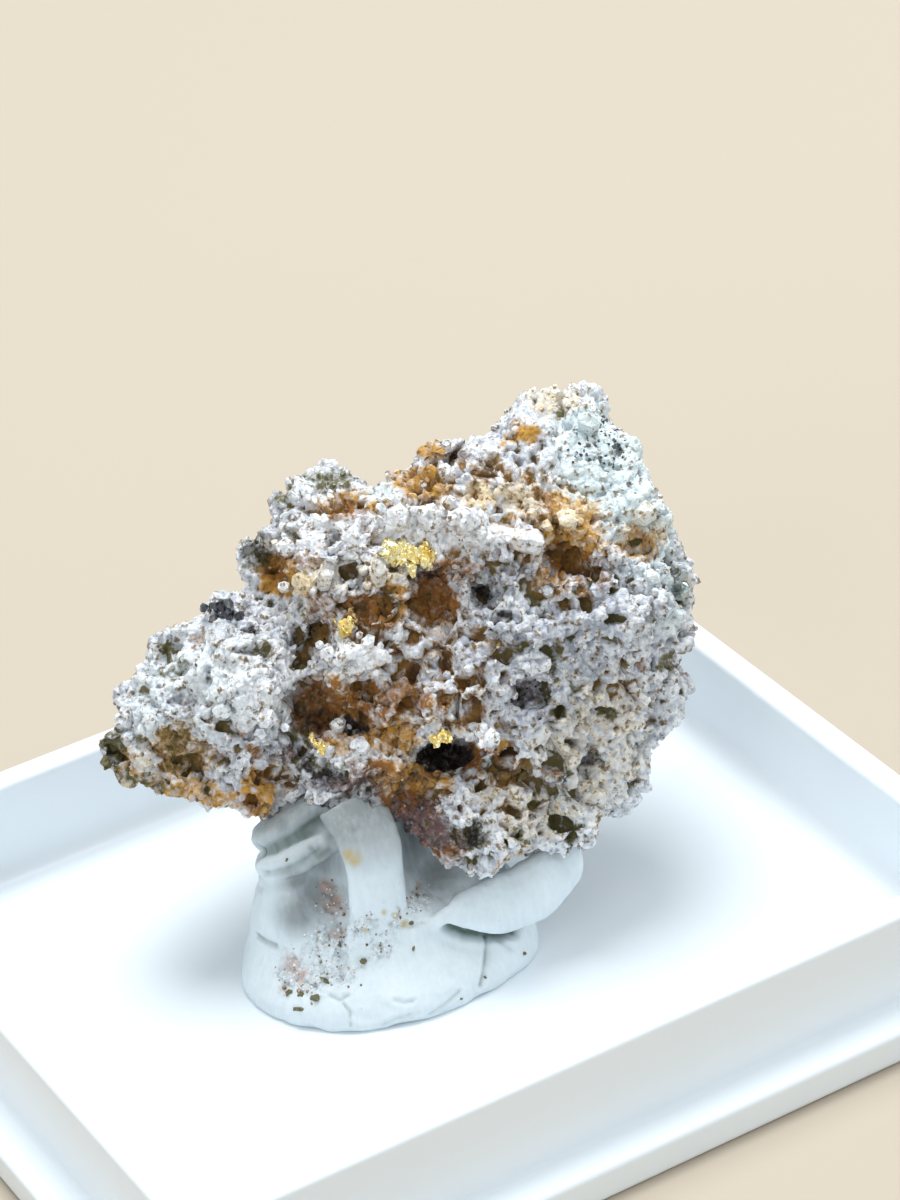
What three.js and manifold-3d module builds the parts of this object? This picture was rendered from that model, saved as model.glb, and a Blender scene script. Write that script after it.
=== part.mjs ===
// Gold on matrix: vuggy quartz with leafy gold, held by a lump of putty in the base of a specimen box.
// Millimetres, +Z up. The origin is the middle of the box base's underside; +X runs along its long side.
import * as THREE from 'three';
import { mergeVertices } from 'three/addons/utils/BufferGeometryUtils.js';
import Module from 'manifold-3d';

const wasm = await Module();
wasm.setup();

// Box base: a floor in a raised rim, with a ledge all round that a lid stands on.
const boxLength = 40;
const boxWidth = 34;
const boxHeight = 5.5;
const ledgeWidth = 1.6;
const ledgeHeight = 1.5;
const rimWall = 1.2;
const floorHeight = 1.1;
const boxCorner = 1.5;
const edgeRound = 0.25;
const floorFillet = 0.8;
const cornerSteps = 4;

// Pieces that touch keep this much room, and the putty stands this far off the floor.
const touchGap = 0.25;
const floorGap = 0.1;

// The specimen's own frame: X runs right along its show face, Y up it and Z out of it.
const specimenPlace = new THREE.Vector3(3.3, 2.8, 12.2);
const specimenTurn = THREE.MathUtils.degToRad(-28.3);
const specimenLean = THREE.MathUtils.degToRad(58.2);
const specimenRoll = THREE.MathUtils.degToRad(-5.5);

// The matrix, about 23 wide, 20 high and 12 deep.
const matrixCells = 18;
const outlineInset = 0.12;
const frontReach = 4.3;
const noseFrontReach = 2.6;
const backReach = 7.4;
const noseBackReach = 3.6;
const noseStart = -4.5;
const noseEnd = -12;
const roundness = 0.8;
const limbSlope = 0.15;
const crestLift = 0.3;
const crestSpan = 6;
const ridgeStart = 0.4;
const ridgeHeight = 3.3;
const upperFall = 0.3;
const noseFaceSlope = 0.32;
const noseMiddle = -2.4;
const rightRecess = 0.36;
const rightRecessStart = 3.5;
const undersideHeight = 5;
const undersideBlend = 1.2;
const blockSize = 6;
const blockRelief = 1.5;
const lumpSize = 2.3;
const lumpRelief = 0.6;
const knobSize = 1.15;
const knobRelief = 0.6;
const valleyDepth = 1.7;
const valleyWidth = 0.9;
const pointsAround = 5;
const scatteredPoints = 44;

// The outline of the show face, as X and Y, anticlockwise from the right.
const outline = [
  [10.4, 0.0], [10.3, 1.2], [10.3, 3.2], [9.6, 4.7], [8.7, 6.7], [7.7, 8.3], [7.0, 9.7],
  [6.7, 10.6], [4.9, 10.5], [3.8, 10.2], [3.0, 9.3], [2.8, 8.8], [1.6, 8.3], [-0.1, 8.2],
  [-1.2, 7.3], [-2.0, 6.4], [-3.0, 6.8], [-4.3, 7.2], [-5.7, 6.7], [-6.6, 5.1], [-7.3, 4.2],
  [-7.3, 2.6], [-8.9, 2.0], [-9.9, 0.8], [-12.5, -2.0], [-13.1, -4.0], [-12.9, -4.8],
  [-11.7, -5.5], [-8.7, -5.9], [-7.0, -6.7], [-5.1, -6.6], [-3.0, -6.6], [-1.0, -7.4],
  [0.4, -8.3], [1.6, -9.2], [2.8, -8.7], [5.5, -7.7], [7.5, -6.5], [8.8, -5.5], [8.7, -4.2],
  [9.6, -3.2], [10.1, -1.6], [9.9, -0.6],
];

// Raised forms of the show face: place, half widths, turn in degrees and height.
const lumps = [
  { name: 'mid lobe', x: -4.2, y: 3.7, rx: 3.0, ry: 2.8, turn: 0, height: 1.2 },
  { name: 'nose back', x: -9.3, y: -1.8, rx: 3.6, ry: 2.6, turn: 40, height: 0.9 },
  { name: 'bright ledge', x: 0.2, y: 4.7, rx: 3.0, ry: 0.75, turn: -4, height: 1.0 },
  { name: 'white chunk', x: -3.1, y: -0.4, rx: 1.3, ry: 0.9, turn: 20, height: 1.0 },
  { name: 'boulder', x: -2.6, y: -4.0, rx: 0.75, ry: 0.8, turn: 0, height: 0.8 },
  { name: 'white lobe', x: -6.5, y: -2.0, rx: 1.3, ry: 1.7, turn: -10, height: 0.9 },
  { name: 'lower left rib', x: -3.6, y: -5.9, rx: 2.2, ry: 0.7, turn: 0, height: 0.9 },
  { name: 'top right mass', x: 7.3, y: 6.6, rx: 1.9, ry: 2.8, turn: 20, height: 0.6 },
  { name: 'cream knob', x: 5.2, y: 5.0, rx: 0.85, ry: 0.65, turn: 0, height: 0.7 },
  { name: 'right shoulder', x: 6.8, y: 1.2, rx: 2.6, ry: 1.0, turn: 8, height: 0.7 },
  { name: 'ring crystal', x: 2.3, y: -3.4, rx: 0.8, ry: 0.8, turn: 0, height: 0.6 },
  { name: 'lower tip', x: 1.9, y: -7.6, rx: 1.6, ry: 1.0, turn: -20, height: 0.7 },
];

// Hollows of the show face: place, half widths, turn in degrees and depth.
const pits = [
  { name: 'dark vug', x: 0.7, y: -4.3, rx: 1.45, ry: 0.85, turn: 8, depth: 2.8 },
  { name: 'ochre cave', x: -4.5, y: -2.4, rx: 1.2, ry: 1.25, turn: 0, depth: 2.0 },
  { name: 'amber cave', x: -6.0, y: 3.0, rx: 0.8, ry: 1.0, turn: 25, depth: 1.4 },
  { name: 'rust hollow', x: 0.1, y: 2.0, rx: 0.85, ry: 1.2, turn: 0, depth: 1.5 },
  { name: 'rust shelf', x: -2.4, y: 1.6, rx: 1.0, ry: 0.5, turn: 0, depth: 1.0 },
  { name: 'olive vug', x: 2.2, y: 2.2, rx: 0.8, ry: 0.6, turn: -10, depth: 1.4 },
  { name: 'top recess', x: 3.6, y: 8.2, rx: 0.8, ry: 0.5, turn: 10, depth: 0.9 },
  { name: 'orange hollow', x: 5.6, y: 3.6, rx: 1.3, ry: 0.8, turn: -15, depth: 1.6 },
  { name: 'brown pit', x: -2.6, y: -1.5, rx: 0.6, ry: 0.5, turn: 0, depth: 1.0 },
  { name: 'dark slot', x: -2.9, y: -2.9, rx: 0.65, ry: 0.45, turn: 0, depth: 1.1 },
  { name: 'red pit', x: 4.0, y: -1.7, rx: 0.7, ry: 0.6, turn: 30, depth: 1.1 },
  { name: 'tan pit', x: 3.0, y: -3.9, rx: 0.5, ry: 0.6, turn: 0, depth: 0.9 },
  { name: 'right pit', x: 6.3, y: -4.7, rx: 0.7, ry: 0.5, turn: 0, depth: 0.9 },
  { name: 'ochre net', x: -0.6, y: -5.6, rx: 1.2, ry: 0.7, turn: 0, depth: 0.6 },
  { name: 'tip pit', x: 1.4, y: -7.3, rx: 0.5, ry: 0.5, turn: 0, depth: 0.8 },
  { name: 'nose recess', x: -9.4, y: -2.0, rx: 0.8, ry: 0.5, turn: 20, depth: 0.8 },
  { name: 'nose vug', x: -9.5, y: -4.0, rx: 1.1, ry: 1.2, turn: 15, depth: 1.2 },
  { name: 'under groove', x: -4.3, y: -4.8, rx: 1.1, ry: 0.4, turn: -5, depth: 0.9 },
];

// The valley between the nose and the rest of the matrix, from its upper end down.
const valley = [[-6.4, 1.8], [-5.2, 0.2], [-5.2, -3.4], [-5.6, -5.6]];

// Single quartz points that stand out: place, radius, length, and how far they lean to X and to Y.
const quartzPoints = [
  { x: 3.6, y: 4.2, radius: 0.55, length: 1.9, leanX: 1.2, leanY: -0.1 },
  { x: -2.0, y: 2.9, radius: 0.35, length: 1.5, leanX: 0.1, leanY: 0.9 },
  { x: -4.9, y: 2.5, radius: 0.4, length: 1.3, leanX: -0.5, leanY: 0.8 },
  { x: -4.1, y: 2.7, radius: 0.35, length: 1.2, leanX: 0.2, leanY: 0.9 },
  { x: -3.6, y: -3.1, radius: 0.25, length: 1.2, leanX: 0.3, leanY: 0.9 },
  { x: -2.7, y: -3.8, radius: 0.6, length: 1.2, leanX: -0.2, leanY: 0.3 },
  { x: 2.3, y: -3.4, radius: 0.5, length: 1.1, leanX: 0.3, leanY: -0.2 },
  { x: -1.2, y: 5.0, radius: 0.5, length: 1.3, leanX: -0.4, leanY: 0.5 },
  { x: 1.4, y: 4.9, radius: 0.5, length: 1.3, leanX: 0.3, leanY: 0.4 },
  { x: -6.4, y: -2.6, radius: 0.5, length: 1.2, leanX: 0.4, leanY: -0.3 },
  { x: 6.2, y: 8.8, radius: 0.5, length: 1.4, leanX: 0.1, leanY: 0.8 },
  { x: 8.2, y: 5.2, radius: 0.5, length: 1.3, leanX: 0.7, leanY: 0.3 },
];

// Gold: each aggregate is a crooked row of thin leaves about its middle, along a slanted line.
const goldMain = {
  x: -0.75, y: 3.55, rise: 0.1, length: 2.1, slant: -6,
  leaves: 7, leaf: 0.46, thin: 0.4, crook: 1.3, tilt: 1.4,
};
const goldFlakeWest = {
  x: -3.2, y: 1.1, rise: 0.1, length: 0.5, slant: 40,
  leaves: 3, leaf: 0.36, thin: 0.4, crook: 1.2, tilt: 1.2,
};
const goldGrainSouth = {
  x: 0.45, y: -3.3, rise: 0.12, length: 0.45, slant: 15,
  leaves: 3, leaf: 0.33, thin: 0.5, crook: 1, tilt: 1.2,
};
const goldSliver = {
  x: -4.4, y: -3.65, rise: 0.3, length: 0.9, slant: -45,
  leaves: 4, leaf: 0.27, thin: 0.5, crook: 0.6, tilt: 0.6,
};
const goldPocket = 0.12;

// Two crystals of other minerals.
const darkCrystal = { x: -8.3, y: 1.5, rise: 0.45, radius: 0.55, length: 1.5, leanX: -0.4, leanY: 0.9 };
const brightCrystal = { x: 9.9, y: 2.6, size: 0.5, sink: 0.15 };

// Putty: lumps pressed into one mass, each with its centre, half sizes and turn about Z.
const puttyLumps = [
  { name: 'pad', place: [-2.4, -0.6, 1.4], half: [5.3, 4.1, 1.9], turn: -22 },
  { name: 'pad right', place: [0.8, -2.1, 1.4], half: [3.0, 2.3, 1.5], turn: -10 },
  { name: 'column', place: [-2.0, 1.0, 4.6], half: [3.5, 2.9, 4.6], turn: -20 },
  { name: 'upright sheet', place: [-2.4, -1.3, 5.2], half: [1.2, 1.1, 4.2], turn: -28 },
  { name: 'rolled lobe', place: [-4.1, 1.8, 6.8], half: [1.4, 1.5, 1.4], turn: 0 },
  { name: 'left wall', place: [-4.7, 0.5, 3.0], half: [1.8, 2.5, 3.2], turn: 0 },
  { name: 'right root', place: [0.9, -1.2, 3.2], half: [3.0, 2.4, 2.6], turn: -10 },
  { name: 'back lobe', place: [1.2, 3.0, 3.8], half: [3.4, 2.6, 3.2], turn: 20 },
];
const puttyAxis = new THREE.Vector2(-2.1, 0.2);
const puttyTop = 9.4;
const puttyBlend = 2.6;
const puttyReach = 9;
const puttyAround = 30;
const puttyLevels = 12;
const puttyKnead = 0.16;
const puttyKneadSize = 1.9;

// The putty's tongue: a roll that curls up against the matrix's lower right edge, with its radii.
const tongueRoute = [[-1.3, -2.7, 3.9], [0.6, -3.4, 4.3], [3.0, -4.0, 4.7], [5.2, -4.1, 5.5]];
const tongueRadii = [0.5, 1.2, 1.3, 0.6];
const tongueFlatness = 0.85;
const tongueSteps = 8;
const tongueAround = 8;

// A number from 0 to 1 that depends on three whole numbers and a salt.
function hashed(i, j, k, salt) {
  let h = Math.imul(i, 374761393) ^ Math.imul(j, 668265263);
  h ^= Math.imul(k, 1442695041) ^ Math.imul(salt, 1274126177);
  h = Math.imul(h ^ (h >>> 15), 2246822519);
  h = Math.imul(h ^ (h >>> 13), 3266489917);
  return ((h ^ (h >>> 16)) >>> 0) / 4294967296;
}

// From 0 at low to 1 at high, level at both ends; high may be the smaller number.
function smoothstep(low, high, value) {
  const t = THREE.MathUtils.clamp((value - low) / (high - low), 0, 1);
  return t * t * (3 - 2 * t);
}

// Grains that meet in creases: each has its own height and tilt. About -0.5 to 0.5.
function grains(p, size, salt) {
  const q = p.clone().divideScalar(size);
  const cell = q.clone().floor();
  let nearest = Infinity;
  let height = 0;
  for (let i = -1; i <= 1; i += 1) {
    for (let j = -1; j <= 1; j += 1) {
      for (let k = -1; k <= 1; k += 1) {
        const c = [cell.x + i, cell.y + j, cell.z + k];
        const seed = new THREE.Vector3(
          c[0] + hashed(...c, salt),
          c[1] + hashed(...c, salt + 1),
          c[2] + hashed(...c, salt + 2),
        );
        const away = q.clone().sub(seed);
        if (away.lengthSq() >= nearest) continue;
        nearest = away.lengthSq();
        const tilt = new THREE.Vector3(
          hashed(...c, salt + 3) - 0.5,
          hashed(...c, salt + 4) - 0.5,
          hashed(...c, salt + 5) - 0.5,
        );
        height = 0.9 * (hashed(...c, salt + 6) - 0.5) + away.dot(tilt);
      }
    }
  }
  return height + 0.25 - 0.8 * nearest;
}

// How far the outline lies from the middle at an angle, straight in angle between its points.
const outlinePolar = outline
  .map(([x, y]) => ({ angle: Math.atan2(y, x), radius: Math.hypot(x, y) }))
  .sort((a, b) => a.angle - b.angle);

function outlineRadius(angle) {
  let next = outlinePolar.findIndex((point) => point.angle > angle);
  if (next < 0) next = 0;
  const after = outlinePolar[next];
  const before = outlinePolar[(next + outlinePolar.length - 1) % outlinePolar.length];
  const turn = 2 * Math.PI;
  const span = (after.angle - before.angle + turn) % turn;
  const along = ((angle - before.angle + turn) % turn) / span;
  return before.radius + (after.radius - before.radius) * along;
}

// The specimen frame's upward direction and the height of its points above the box's underside.
const specimenTilt = new THREE.Matrix4()
  .makeRotationZ(specimenTurn)
  .multiply(new THREE.Matrix4().makeRotationX(specimenLean))
  .multiply(new THREE.Matrix4().makeRotationZ(specimenRoll));
const specimenMatrix = specimenTilt.clone().setPosition(specimenPlace);
const specimenUp = new THREE.Vector3(0, 0, 1).transformDirection(specimenTilt.clone().transpose());

// The smooth body of the matrix, for a direction from its middle: a pillow inside the outline.
function bodyPoint(direction) {
  const side = Math.hypot(direction.x, direction.y);
  const reachAside = outlineRadius(Math.atan2(direction.y, direction.x)) - outlineInset;
  const radius = reachAside * side ** roundness;
  const x = side > 0 ? (radius * direction.x) / side : 0;
  const y = side > 0 ? (radius * direction.y) / side : 0;
  const nose = smoothstep(-noseStart, -noseEnd, -x);
  const front = THREE.MathUtils.lerp(frontReach, noseFrontReach, nose);
  const back = THREE.MathUtils.lerp(backReach, noseBackReach, nose);
  const reach = direction.z > 0 ? front : back;
  const lift = direction.z > 0 ? 1 + crestLift * THREE.MathUtils.clamp(y / crestSpan, -1, 1.2) : 1;
  const bulge = reach * lift * Math.sign(direction.z) * Math.abs(direction.z) ** roundness;
  const recess = rightRecess * Math.max(0, x - rightRecessStart) * smoothstep(2, -5, y);
  const ridge = THREE.MathUtils.lerp(ridgeStart, ridgeHeight, smoothstep(-7, -1, x));
  const facing = smoothstep(-0.6, 0.2, direction.z);
  const fall = facing * (1 - nose) * upperFall * Math.max(0, y - ridge);
  const noseFall = facing * nose * noseFaceSlope * (y - noseMiddle);
  const point = new THREE.Vector3(x, y, bulge - limbSlope * y - recess - fall - noseFall);
  const over = specimenPlace.z + point.dot(specimenUp) - undersideHeight;
  return point.addScaledVector(specimenUp, (Math.hypot(over, undersideBlend) - over) / 2);
}

// How far a point lies from a form's middle, as a share of its half widths.
function share(form, p) {
  const turn = THREE.MathUtils.degToRad(form.turn);
  const dx = p.x - form.x;
  const dy = p.y - form.y;
  const along = (dx * Math.cos(turn) + dy * Math.sin(turn)) / form.rx;
  const across = (dy * Math.cos(turn) - dx * Math.sin(turn)) / form.ry;
  return Math.hypot(along, across);
}

// The distance from a point of the show face to the valley's line.
function valleyDistance(p) {
  let nearest = Infinity;
  for (let i = 1; i < valley.length; i += 1) {
    const line = new THREE.Line3(
      new THREE.Vector3(...valley[i - 1], 0),
      new THREE.Vector3(...valley[i], 0),
    );
    const flat = new THREE.Vector3(p.x, p.y, 0);
    const closest = line.closestPointToPoint(flat, true, new THREE.Vector3());
    nearest = Math.min(nearest, closest.distanceTo(flat));
  }
  return nearest;
}

// How far the surface stands out of the smooth body at a point with a given normal.
function relief(p, normal) {
  const facing = smoothstep(0.05, 0.55, normal.z);
  let named = -valleyDepth * Math.exp(-((valleyDistance(p) / valleyWidth) ** 2));
  for (const lump of lumps) named += lump.height * Math.exp(-1.2 * share(lump, p) ** 2);
  for (const pit of pits) named -= pit.depth * (1 - smoothstep(0.55, 1.2, share(pit, p)));
  const blocks = smoothstep(-0.1, -0.6, normal.z) * blockRelief * grains(p, blockSize, 91);
  const fine = lumpRelief * grains(p, lumpSize, 11) + knobRelief * grains(p, knobSize, 31);
  return facing * named + blocks + fine;
}

// A closed mesh over the six faces of a cube, blown up to a ball.
function ballGeometry(cells) {
  const cube = new THREE.BoxGeometry(2, 2, 2, cells, cells, cells);
  cube.deleteAttribute('normal');
  cube.deleteAttribute('uv');
  const ball = mergeVertices(cube);
  const place = ball.getAttribute('position');
  const p = new THREE.Vector3();
  for (let i = 0; i < place.count; i += 1) {
    p.fromBufferAttribute(place, i);
    p.set(...p.toArray().map((value) => Math.tan((value * Math.PI) / 4))).normalize();
    place.setXYZ(i, ...p);
  }
  return ball;
}

// The matrix as a mesh in the specimen frame, with its surface moved out by grow.
function matrixGeometry(cells, grow) {
  const geometry = ballGeometry(cells);
  const place = geometry.getAttribute('position');
  for (let i = 0; i < place.count; i += 1) {
    place.setXYZ(i, ...bodyPoint(new THREE.Vector3().fromBufferAttribute(place, i)));
  }
  geometry.computeVertexNormals();
  const normals = geometry.getAttribute('normal').clone();
  for (let i = 0; i < place.count; i += 1) {
    const p = new THREE.Vector3().fromBufferAttribute(place, i);
    const normal = new THREE.Vector3().fromBufferAttribute(normals, i);
    place.setXYZ(i, ...p.addScaledVector(normal, relief(p, normal) + grow));
  }
  geometry.deleteAttribute('normal');
  return geometry;
}

function solidOf(geometry) {
  const bare = geometry.clone();
  for (const name of Object.keys(bare.attributes)) if (name !== 'position') bare.deleteAttribute(name);
  const merged = mergeVertices(bare, 1e-4);
  return new wasm.Manifold(new wasm.Mesh({
    numProp: 3,
    vertProperties: new Float32Array(merged.getAttribute('position').array),
    triVerts: new Uint32Array(merged.index.array),
  }));
}

function geometryOf(solid) {
  const { vertProperties, triVerts } = solid.getMesh();
  const geometry = new THREE.BufferGeometry();
  geometry.setAttribute('position', new THREE.BufferAttribute(vertProperties, 3));
  geometry.setIndex(new THREE.BufferAttribute(triVerts, 1));
  return geometry;
}

const joined = (solids) => solids.reduce((whole, solid) => whole.add(solid));

// The vertex of the matrix's front that lies nearest to a place on the show face.
function frontPoint(geometry, x, y) {
  const place = geometry.getAttribute('position');
  const p = new THREE.Vector3();
  const best = new THREE.Vector3();
  let least = Infinity;
  for (let i = 0; i < place.count; i += 1) {
    p.fromBufferAttribute(place, i);
    const distance = Math.hypot(p.x - x, p.y - y) - 0.15 * p.z;
    if (distance >= least) continue;
    least = distance;
    best.copy(p);
  }
  return best.setX(x).setY(y);
}

// A faceted crystal point from a root along a direction, sunk by part of its length.
function crystalPoint(root, direction, radius, length) {
  const sunk = 0.45 * length;
  const shoulder = 0.25 * length;
  const tip = 0.55 * length;
  const profile = [[0, -sunk], [0.9 * radius, -sunk], [radius, shoulder], [0, tip]];
  const lathe = new THREE.LatheGeometry(profile.map(([r, h]) => new THREE.Vector2(r, h)), pointsAround);
  const along = direction.clone().normalize();
  lathe.applyQuaternion(new THREE.Quaternion().setFromUnitVectors(new THREE.Vector3(0, 1, 0), along));
  lathe.translate(...root);
  return solidOf(lathe);
}

const bareMatrix = matrixGeometry(matrixCells, 0);

function namedQuartz() {
  return quartzPoints.map(({ x, y, radius, length, leanX, leanY }) => {
    const direction = new THREE.Vector3(leanX, leanY, 1);
    return crystalPoint(frontPoint(bareMatrix, x, y), direction, radius, length);
  });
}

// Quartz points spread over the matrix, each on a vertex and near its normal, with none underneath.
function scatteredQuartz() {
  bareMatrix.computeVertexNormals();
  const place = bareMatrix.getAttribute('position');
  const normals = bareMatrix.getAttribute('normal');
  const step = Math.floor(place.count / scatteredPoints);
  const found = [];
  for (let i = Math.floor(step / 2); i < place.count; i += step) {
    const root = new THREE.Vector3().fromBufferAttribute(place, i);
    const normal = new THREE.Vector3().fromBufferAttribute(normals, i);
    if (normal.dot(specimenUp) < -0.3) continue;
    const lean = new THREE.Vector3(
      hashed(i, 1, 0, 5) - 0.5,
      hashed(i, 2, 0, 5) - 0.5,
      hashed(i, 3, 0, 5) - 0.5,
    );
    const direction = normal.addScaledVector(lean, 1.2);
    const radius = 0.4 + 0.3 * hashed(i, 4, 0, 5);
    found.push(crystalPoint(root, direction, radius, 2.4 * radius));
  }
  return found;
}

// A leafy aggregate: flat faceted leaves in a crooked row, each grown by a little to cut its pocket.
function goldSolid(gold, grow) {
  const slant = THREE.MathUtils.degToRad(gold.slant);
  const leaves = [];
  for (let i = 0; i < gold.leaves; i += 1) {
    const along = gold.length * ((i + 0.5) / gold.leaves - 0.5);
    const aside = gold.crook * gold.leaf * (hashed(i, 7, gold.leaves, 3) - 0.5);
    const x = gold.x + along * Math.cos(slant) - aside * Math.sin(slant);
    const y = gold.y + along * Math.sin(slant) + aside * Math.cos(slant);
    const size = gold.leaf * (0.7 + 0.6 * hashed(i, 9, gold.leaves, 3));
    const leaf = new THREE.IcosahedronGeometry(1, 0);
    leaf.scale(size + grow, 0.8 * size + grow, gold.thin * size + grow);
    leaf.rotateX(gold.tilt * (hashed(i, 1, gold.leaves, 3) - 0.5));
    leaf.rotateY(gold.tilt * (hashed(i, 2, gold.leaves, 3) - 0.5));
    leaf.translate(x, y, frontPoint(bareMatrix, gold.x, gold.y).z + gold.rise);
    leaves.push(solidOf(leaf));
  }
  return joined(leaves);
}

function darkCrystalSolid(grow) {
  const { x, y, rise, radius, length, leanX, leanY } = darkCrystal;
  const root = frontPoint(bareMatrix, x, y);
  root.z += rise;
  const tall = crystalPoint(root, new THREE.Vector3(leanX, leanY, 1), radius + grow, length + grow);
  const beside = root.clone().add(new THREE.Vector3(0.45, 0.1, -0.1));
  const aslant = new THREE.Vector3(0.5, leanY, 1);
  const short = crystalPoint(beside, aslant, 0.7 * radius + grow, 0.7 * length + grow);
  return tall.add(short);
}

function brightCrystalSolid(grow) {
  const { x, y, size, sink } = brightCrystal;
  const octahedron = new THREE.OctahedronGeometry(size + grow, 0);
  octahedron.rotateZ(0.5);
  octahedron.rotateX(0.4);
  octahedron.translate(x, y, frontPoint(bareMatrix, x - 0.4, y).z - sink);
  return solidOf(octahedron);
}

const goldPieces = {
  gold_main: goldMain,
  gold_flake_west: goldFlakeWest,
  gold_grain_south: goldGrainSouth,
  gold_sliver: goldSliver,
};

function matrixSolid() {
  const whole = joined([solidOf(bareMatrix), ...namedQuartz(), ...scatteredQuartz()]);
  const pockets = Object.values(goldPieces).map((gold) => goldSolid(gold, goldPocket));
  pockets.push(darkCrystalSolid(goldPocket), brightCrystalSolid(goldPocket));
  return pockets.reduce((rest, pocket) => rest.subtract(pocket), whole);
}

// One level loop of the box base: a rectangle with round corners.
function boxLoop(halfLength, halfWidth, corner, height) {
  const loop = [];
  for (let quarter = 0; quarter < 4; quarter += 1) {
    const signX = quarter === 0 || quarter === 3 ? 1 : -1;
    const signY = quarter < 2 ? 1 : -1;
    for (let i = 0; i <= cornerSteps; i += 1) {
      const angle = ((quarter + i / cornerSteps) * Math.PI) / 2;
      loop.push(new THREE.Vector3(
        signX * (halfLength - corner) + corner * Math.cos(angle),
        signY * (halfWidth - corner) + corner * Math.sin(angle),
        height,
      ));
    }
  }
  return loop;
}

// A closed skin over loops of equal length. The first loop is closed by a face that looks down or
// back along the path, and the last by one that looks on.
function loftGeometry(loops) {
  const around = loops[0].length;
  const index = [];
  for (let i = 1; i < loops.length; i += 1) {
    for (let j = 0; j < around; j += 1) {
      const k = (j + 1) % around;
      const low = (i - 1) * around;
      const high = i * around;
      index.push(low + j, low + k, high + k, low + j, high + k, high + j);
    }
  }
  const last = (loops.length - 1) * around;
  for (let j = 1; j < around - 1; j += 1) {
    index.push(0, j + 1, j);
    index.push(last, last + j, last + j + 1);
  }
  const geometry = new THREE.BufferGeometry();
  const numbers = loops.flat().flatMap((p) => [...p]);
  geometry.setAttribute('position', new THREE.Float32BufferAttribute(numbers, 3));
  geometry.setIndex(index);
  return geometry;
}

function boxBaseGeometry() {
  const halfLength = boxLength / 2;
  const halfWidth = boxWidth / 2;
  const rise = edgeRound;
  const rim = ledgeWidth;
  const inner = ledgeWidth + rimWall;
  // Each step is how far the loop lies inside the footprint, and its height.
  const steps = [
    [rise, 0], [0, rise], [0, ledgeHeight - rise], [rise, ledgeHeight],
    [rim - rise, ledgeHeight], [rim, ledgeHeight + rise],
    [rim, boxHeight - rise], [rim + rise, boxHeight],
    [inner - rise, boxHeight], [inner, boxHeight - rise],
    [inner, floorHeight + floorFillet],
    [inner + 0.3 * floorFillet, floorHeight + 0.3 * floorFillet],
    [inner + floorFillet, floorHeight],
  ];
  return loftGeometry(steps.map(([inset, height]) => (
    boxLoop(halfLength - inset, halfWidth - inset, Math.max(0.4, boxCorner - 0.4 * inset), height)
  )));
}

// How firmly a point lies in the putty's lumps together: over 1 inside, and smooth where they meet.
function puttyFirmness(p) {
  return puttyLumps.reduce((sum, { place, half, turn }) => {
    const q = p.clone().sub(new THREE.Vector3(...place));
    q.applyAxisAngle(new THREE.Vector3(0, 0, 1), -THREE.MathUtils.degToRad(turn));
    return sum + Math.exp(puttyBlend * (1 - q.divide(new THREE.Vector3(...half)).lengthSq()));
  }, 0);
}

// The putty's outermost point from its axis at a height and an angle, found by halving.
function puttyPoint(height, angle) {
  const at = (radius) => new THREE.Vector3(
    puttyAxis.x + radius * Math.cos(angle),
    puttyAxis.y + radius * Math.sin(angle),
    height,
  );
  const step = 0.2;
  let outside = puttyReach;
  while (outside > step && puttyFirmness(at(outside - step)) < 1) outside -= step;
  let inside = outside - step;
  for (let i = 0; i < 8; i += 1) {
    const middle = (inside + outside) / 2;
    if (puttyFirmness(at(middle)) < 1) outside = middle;
    else inside = middle;
  }
  return at(inside + puttyKnead * grains(at(inside), puttyKneadSize, 71));
}

function puttyMassSolid() {
  const low = floorHeight + floorGap;
  const loops = [];
  for (let i = 0; i <= puttyLevels; i += 1) {
    const height = low + (puttyTop - low) * (i / puttyLevels) ** 1.2;
    const loop = [];
    for (let j = 0; j < puttyAround; j += 1) {
      loop.push(puttyPoint(height, (2 * Math.PI * j) / puttyAround));
    }
    loops.push(loop);
  }
  return solidOf(loftGeometry(loops));
}

function tongueSolid() {
  const route = new THREE.CatmullRomCurve3(tongueRoute.map((place) => new THREE.Vector3(...place)));
  const loops = [];
  for (let i = 0; i <= tongueSteps; i += 1) {
    const along = i / tongueSteps;
    const middle = route.getPoint(along);
    const ahead = route.getTangent(along);
    const aside = new THREE.Vector3().crossVectors(new THREE.Vector3(0, 0, 1), ahead).normalize();
    const over = new THREE.Vector3().crossVectors(ahead, aside);
    const slot = along * (tongueRadii.length - 1);
    const before = Math.min(tongueRadii.length - 2, Math.floor(slot));
    const radius = THREE.MathUtils.lerp(tongueRadii[before], tongueRadii[before + 1], slot - before);
    const loop = [];
    for (let j = 0; j < tongueAround; j += 1) {
      const angle = (2 * Math.PI * j) / tongueAround;
      loop.push(middle.clone()
        .addScaledVector(aside, tongueFlatness * radius * Math.cos(angle))
        .addScaledVector(over, radius * Math.sin(angle)));
    }
    loops.push(loop);
  }
  return solidOf(loftGeometry(loops));
}

function puttySolid() {
  const lump = puttyMassSolid().add(tongueSolid());
  const rock = matrixGeometry(matrixCells, touchGap).applyMatrix4(specimenMatrix);
  // What would stand on top of the matrix, cut off from the rest, is left out.
  const parts = lump.subtract(solidOf(rock)).decompose();
  return parts.sort((a, b) => b.volume() - a.volume())[0];
}

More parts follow.
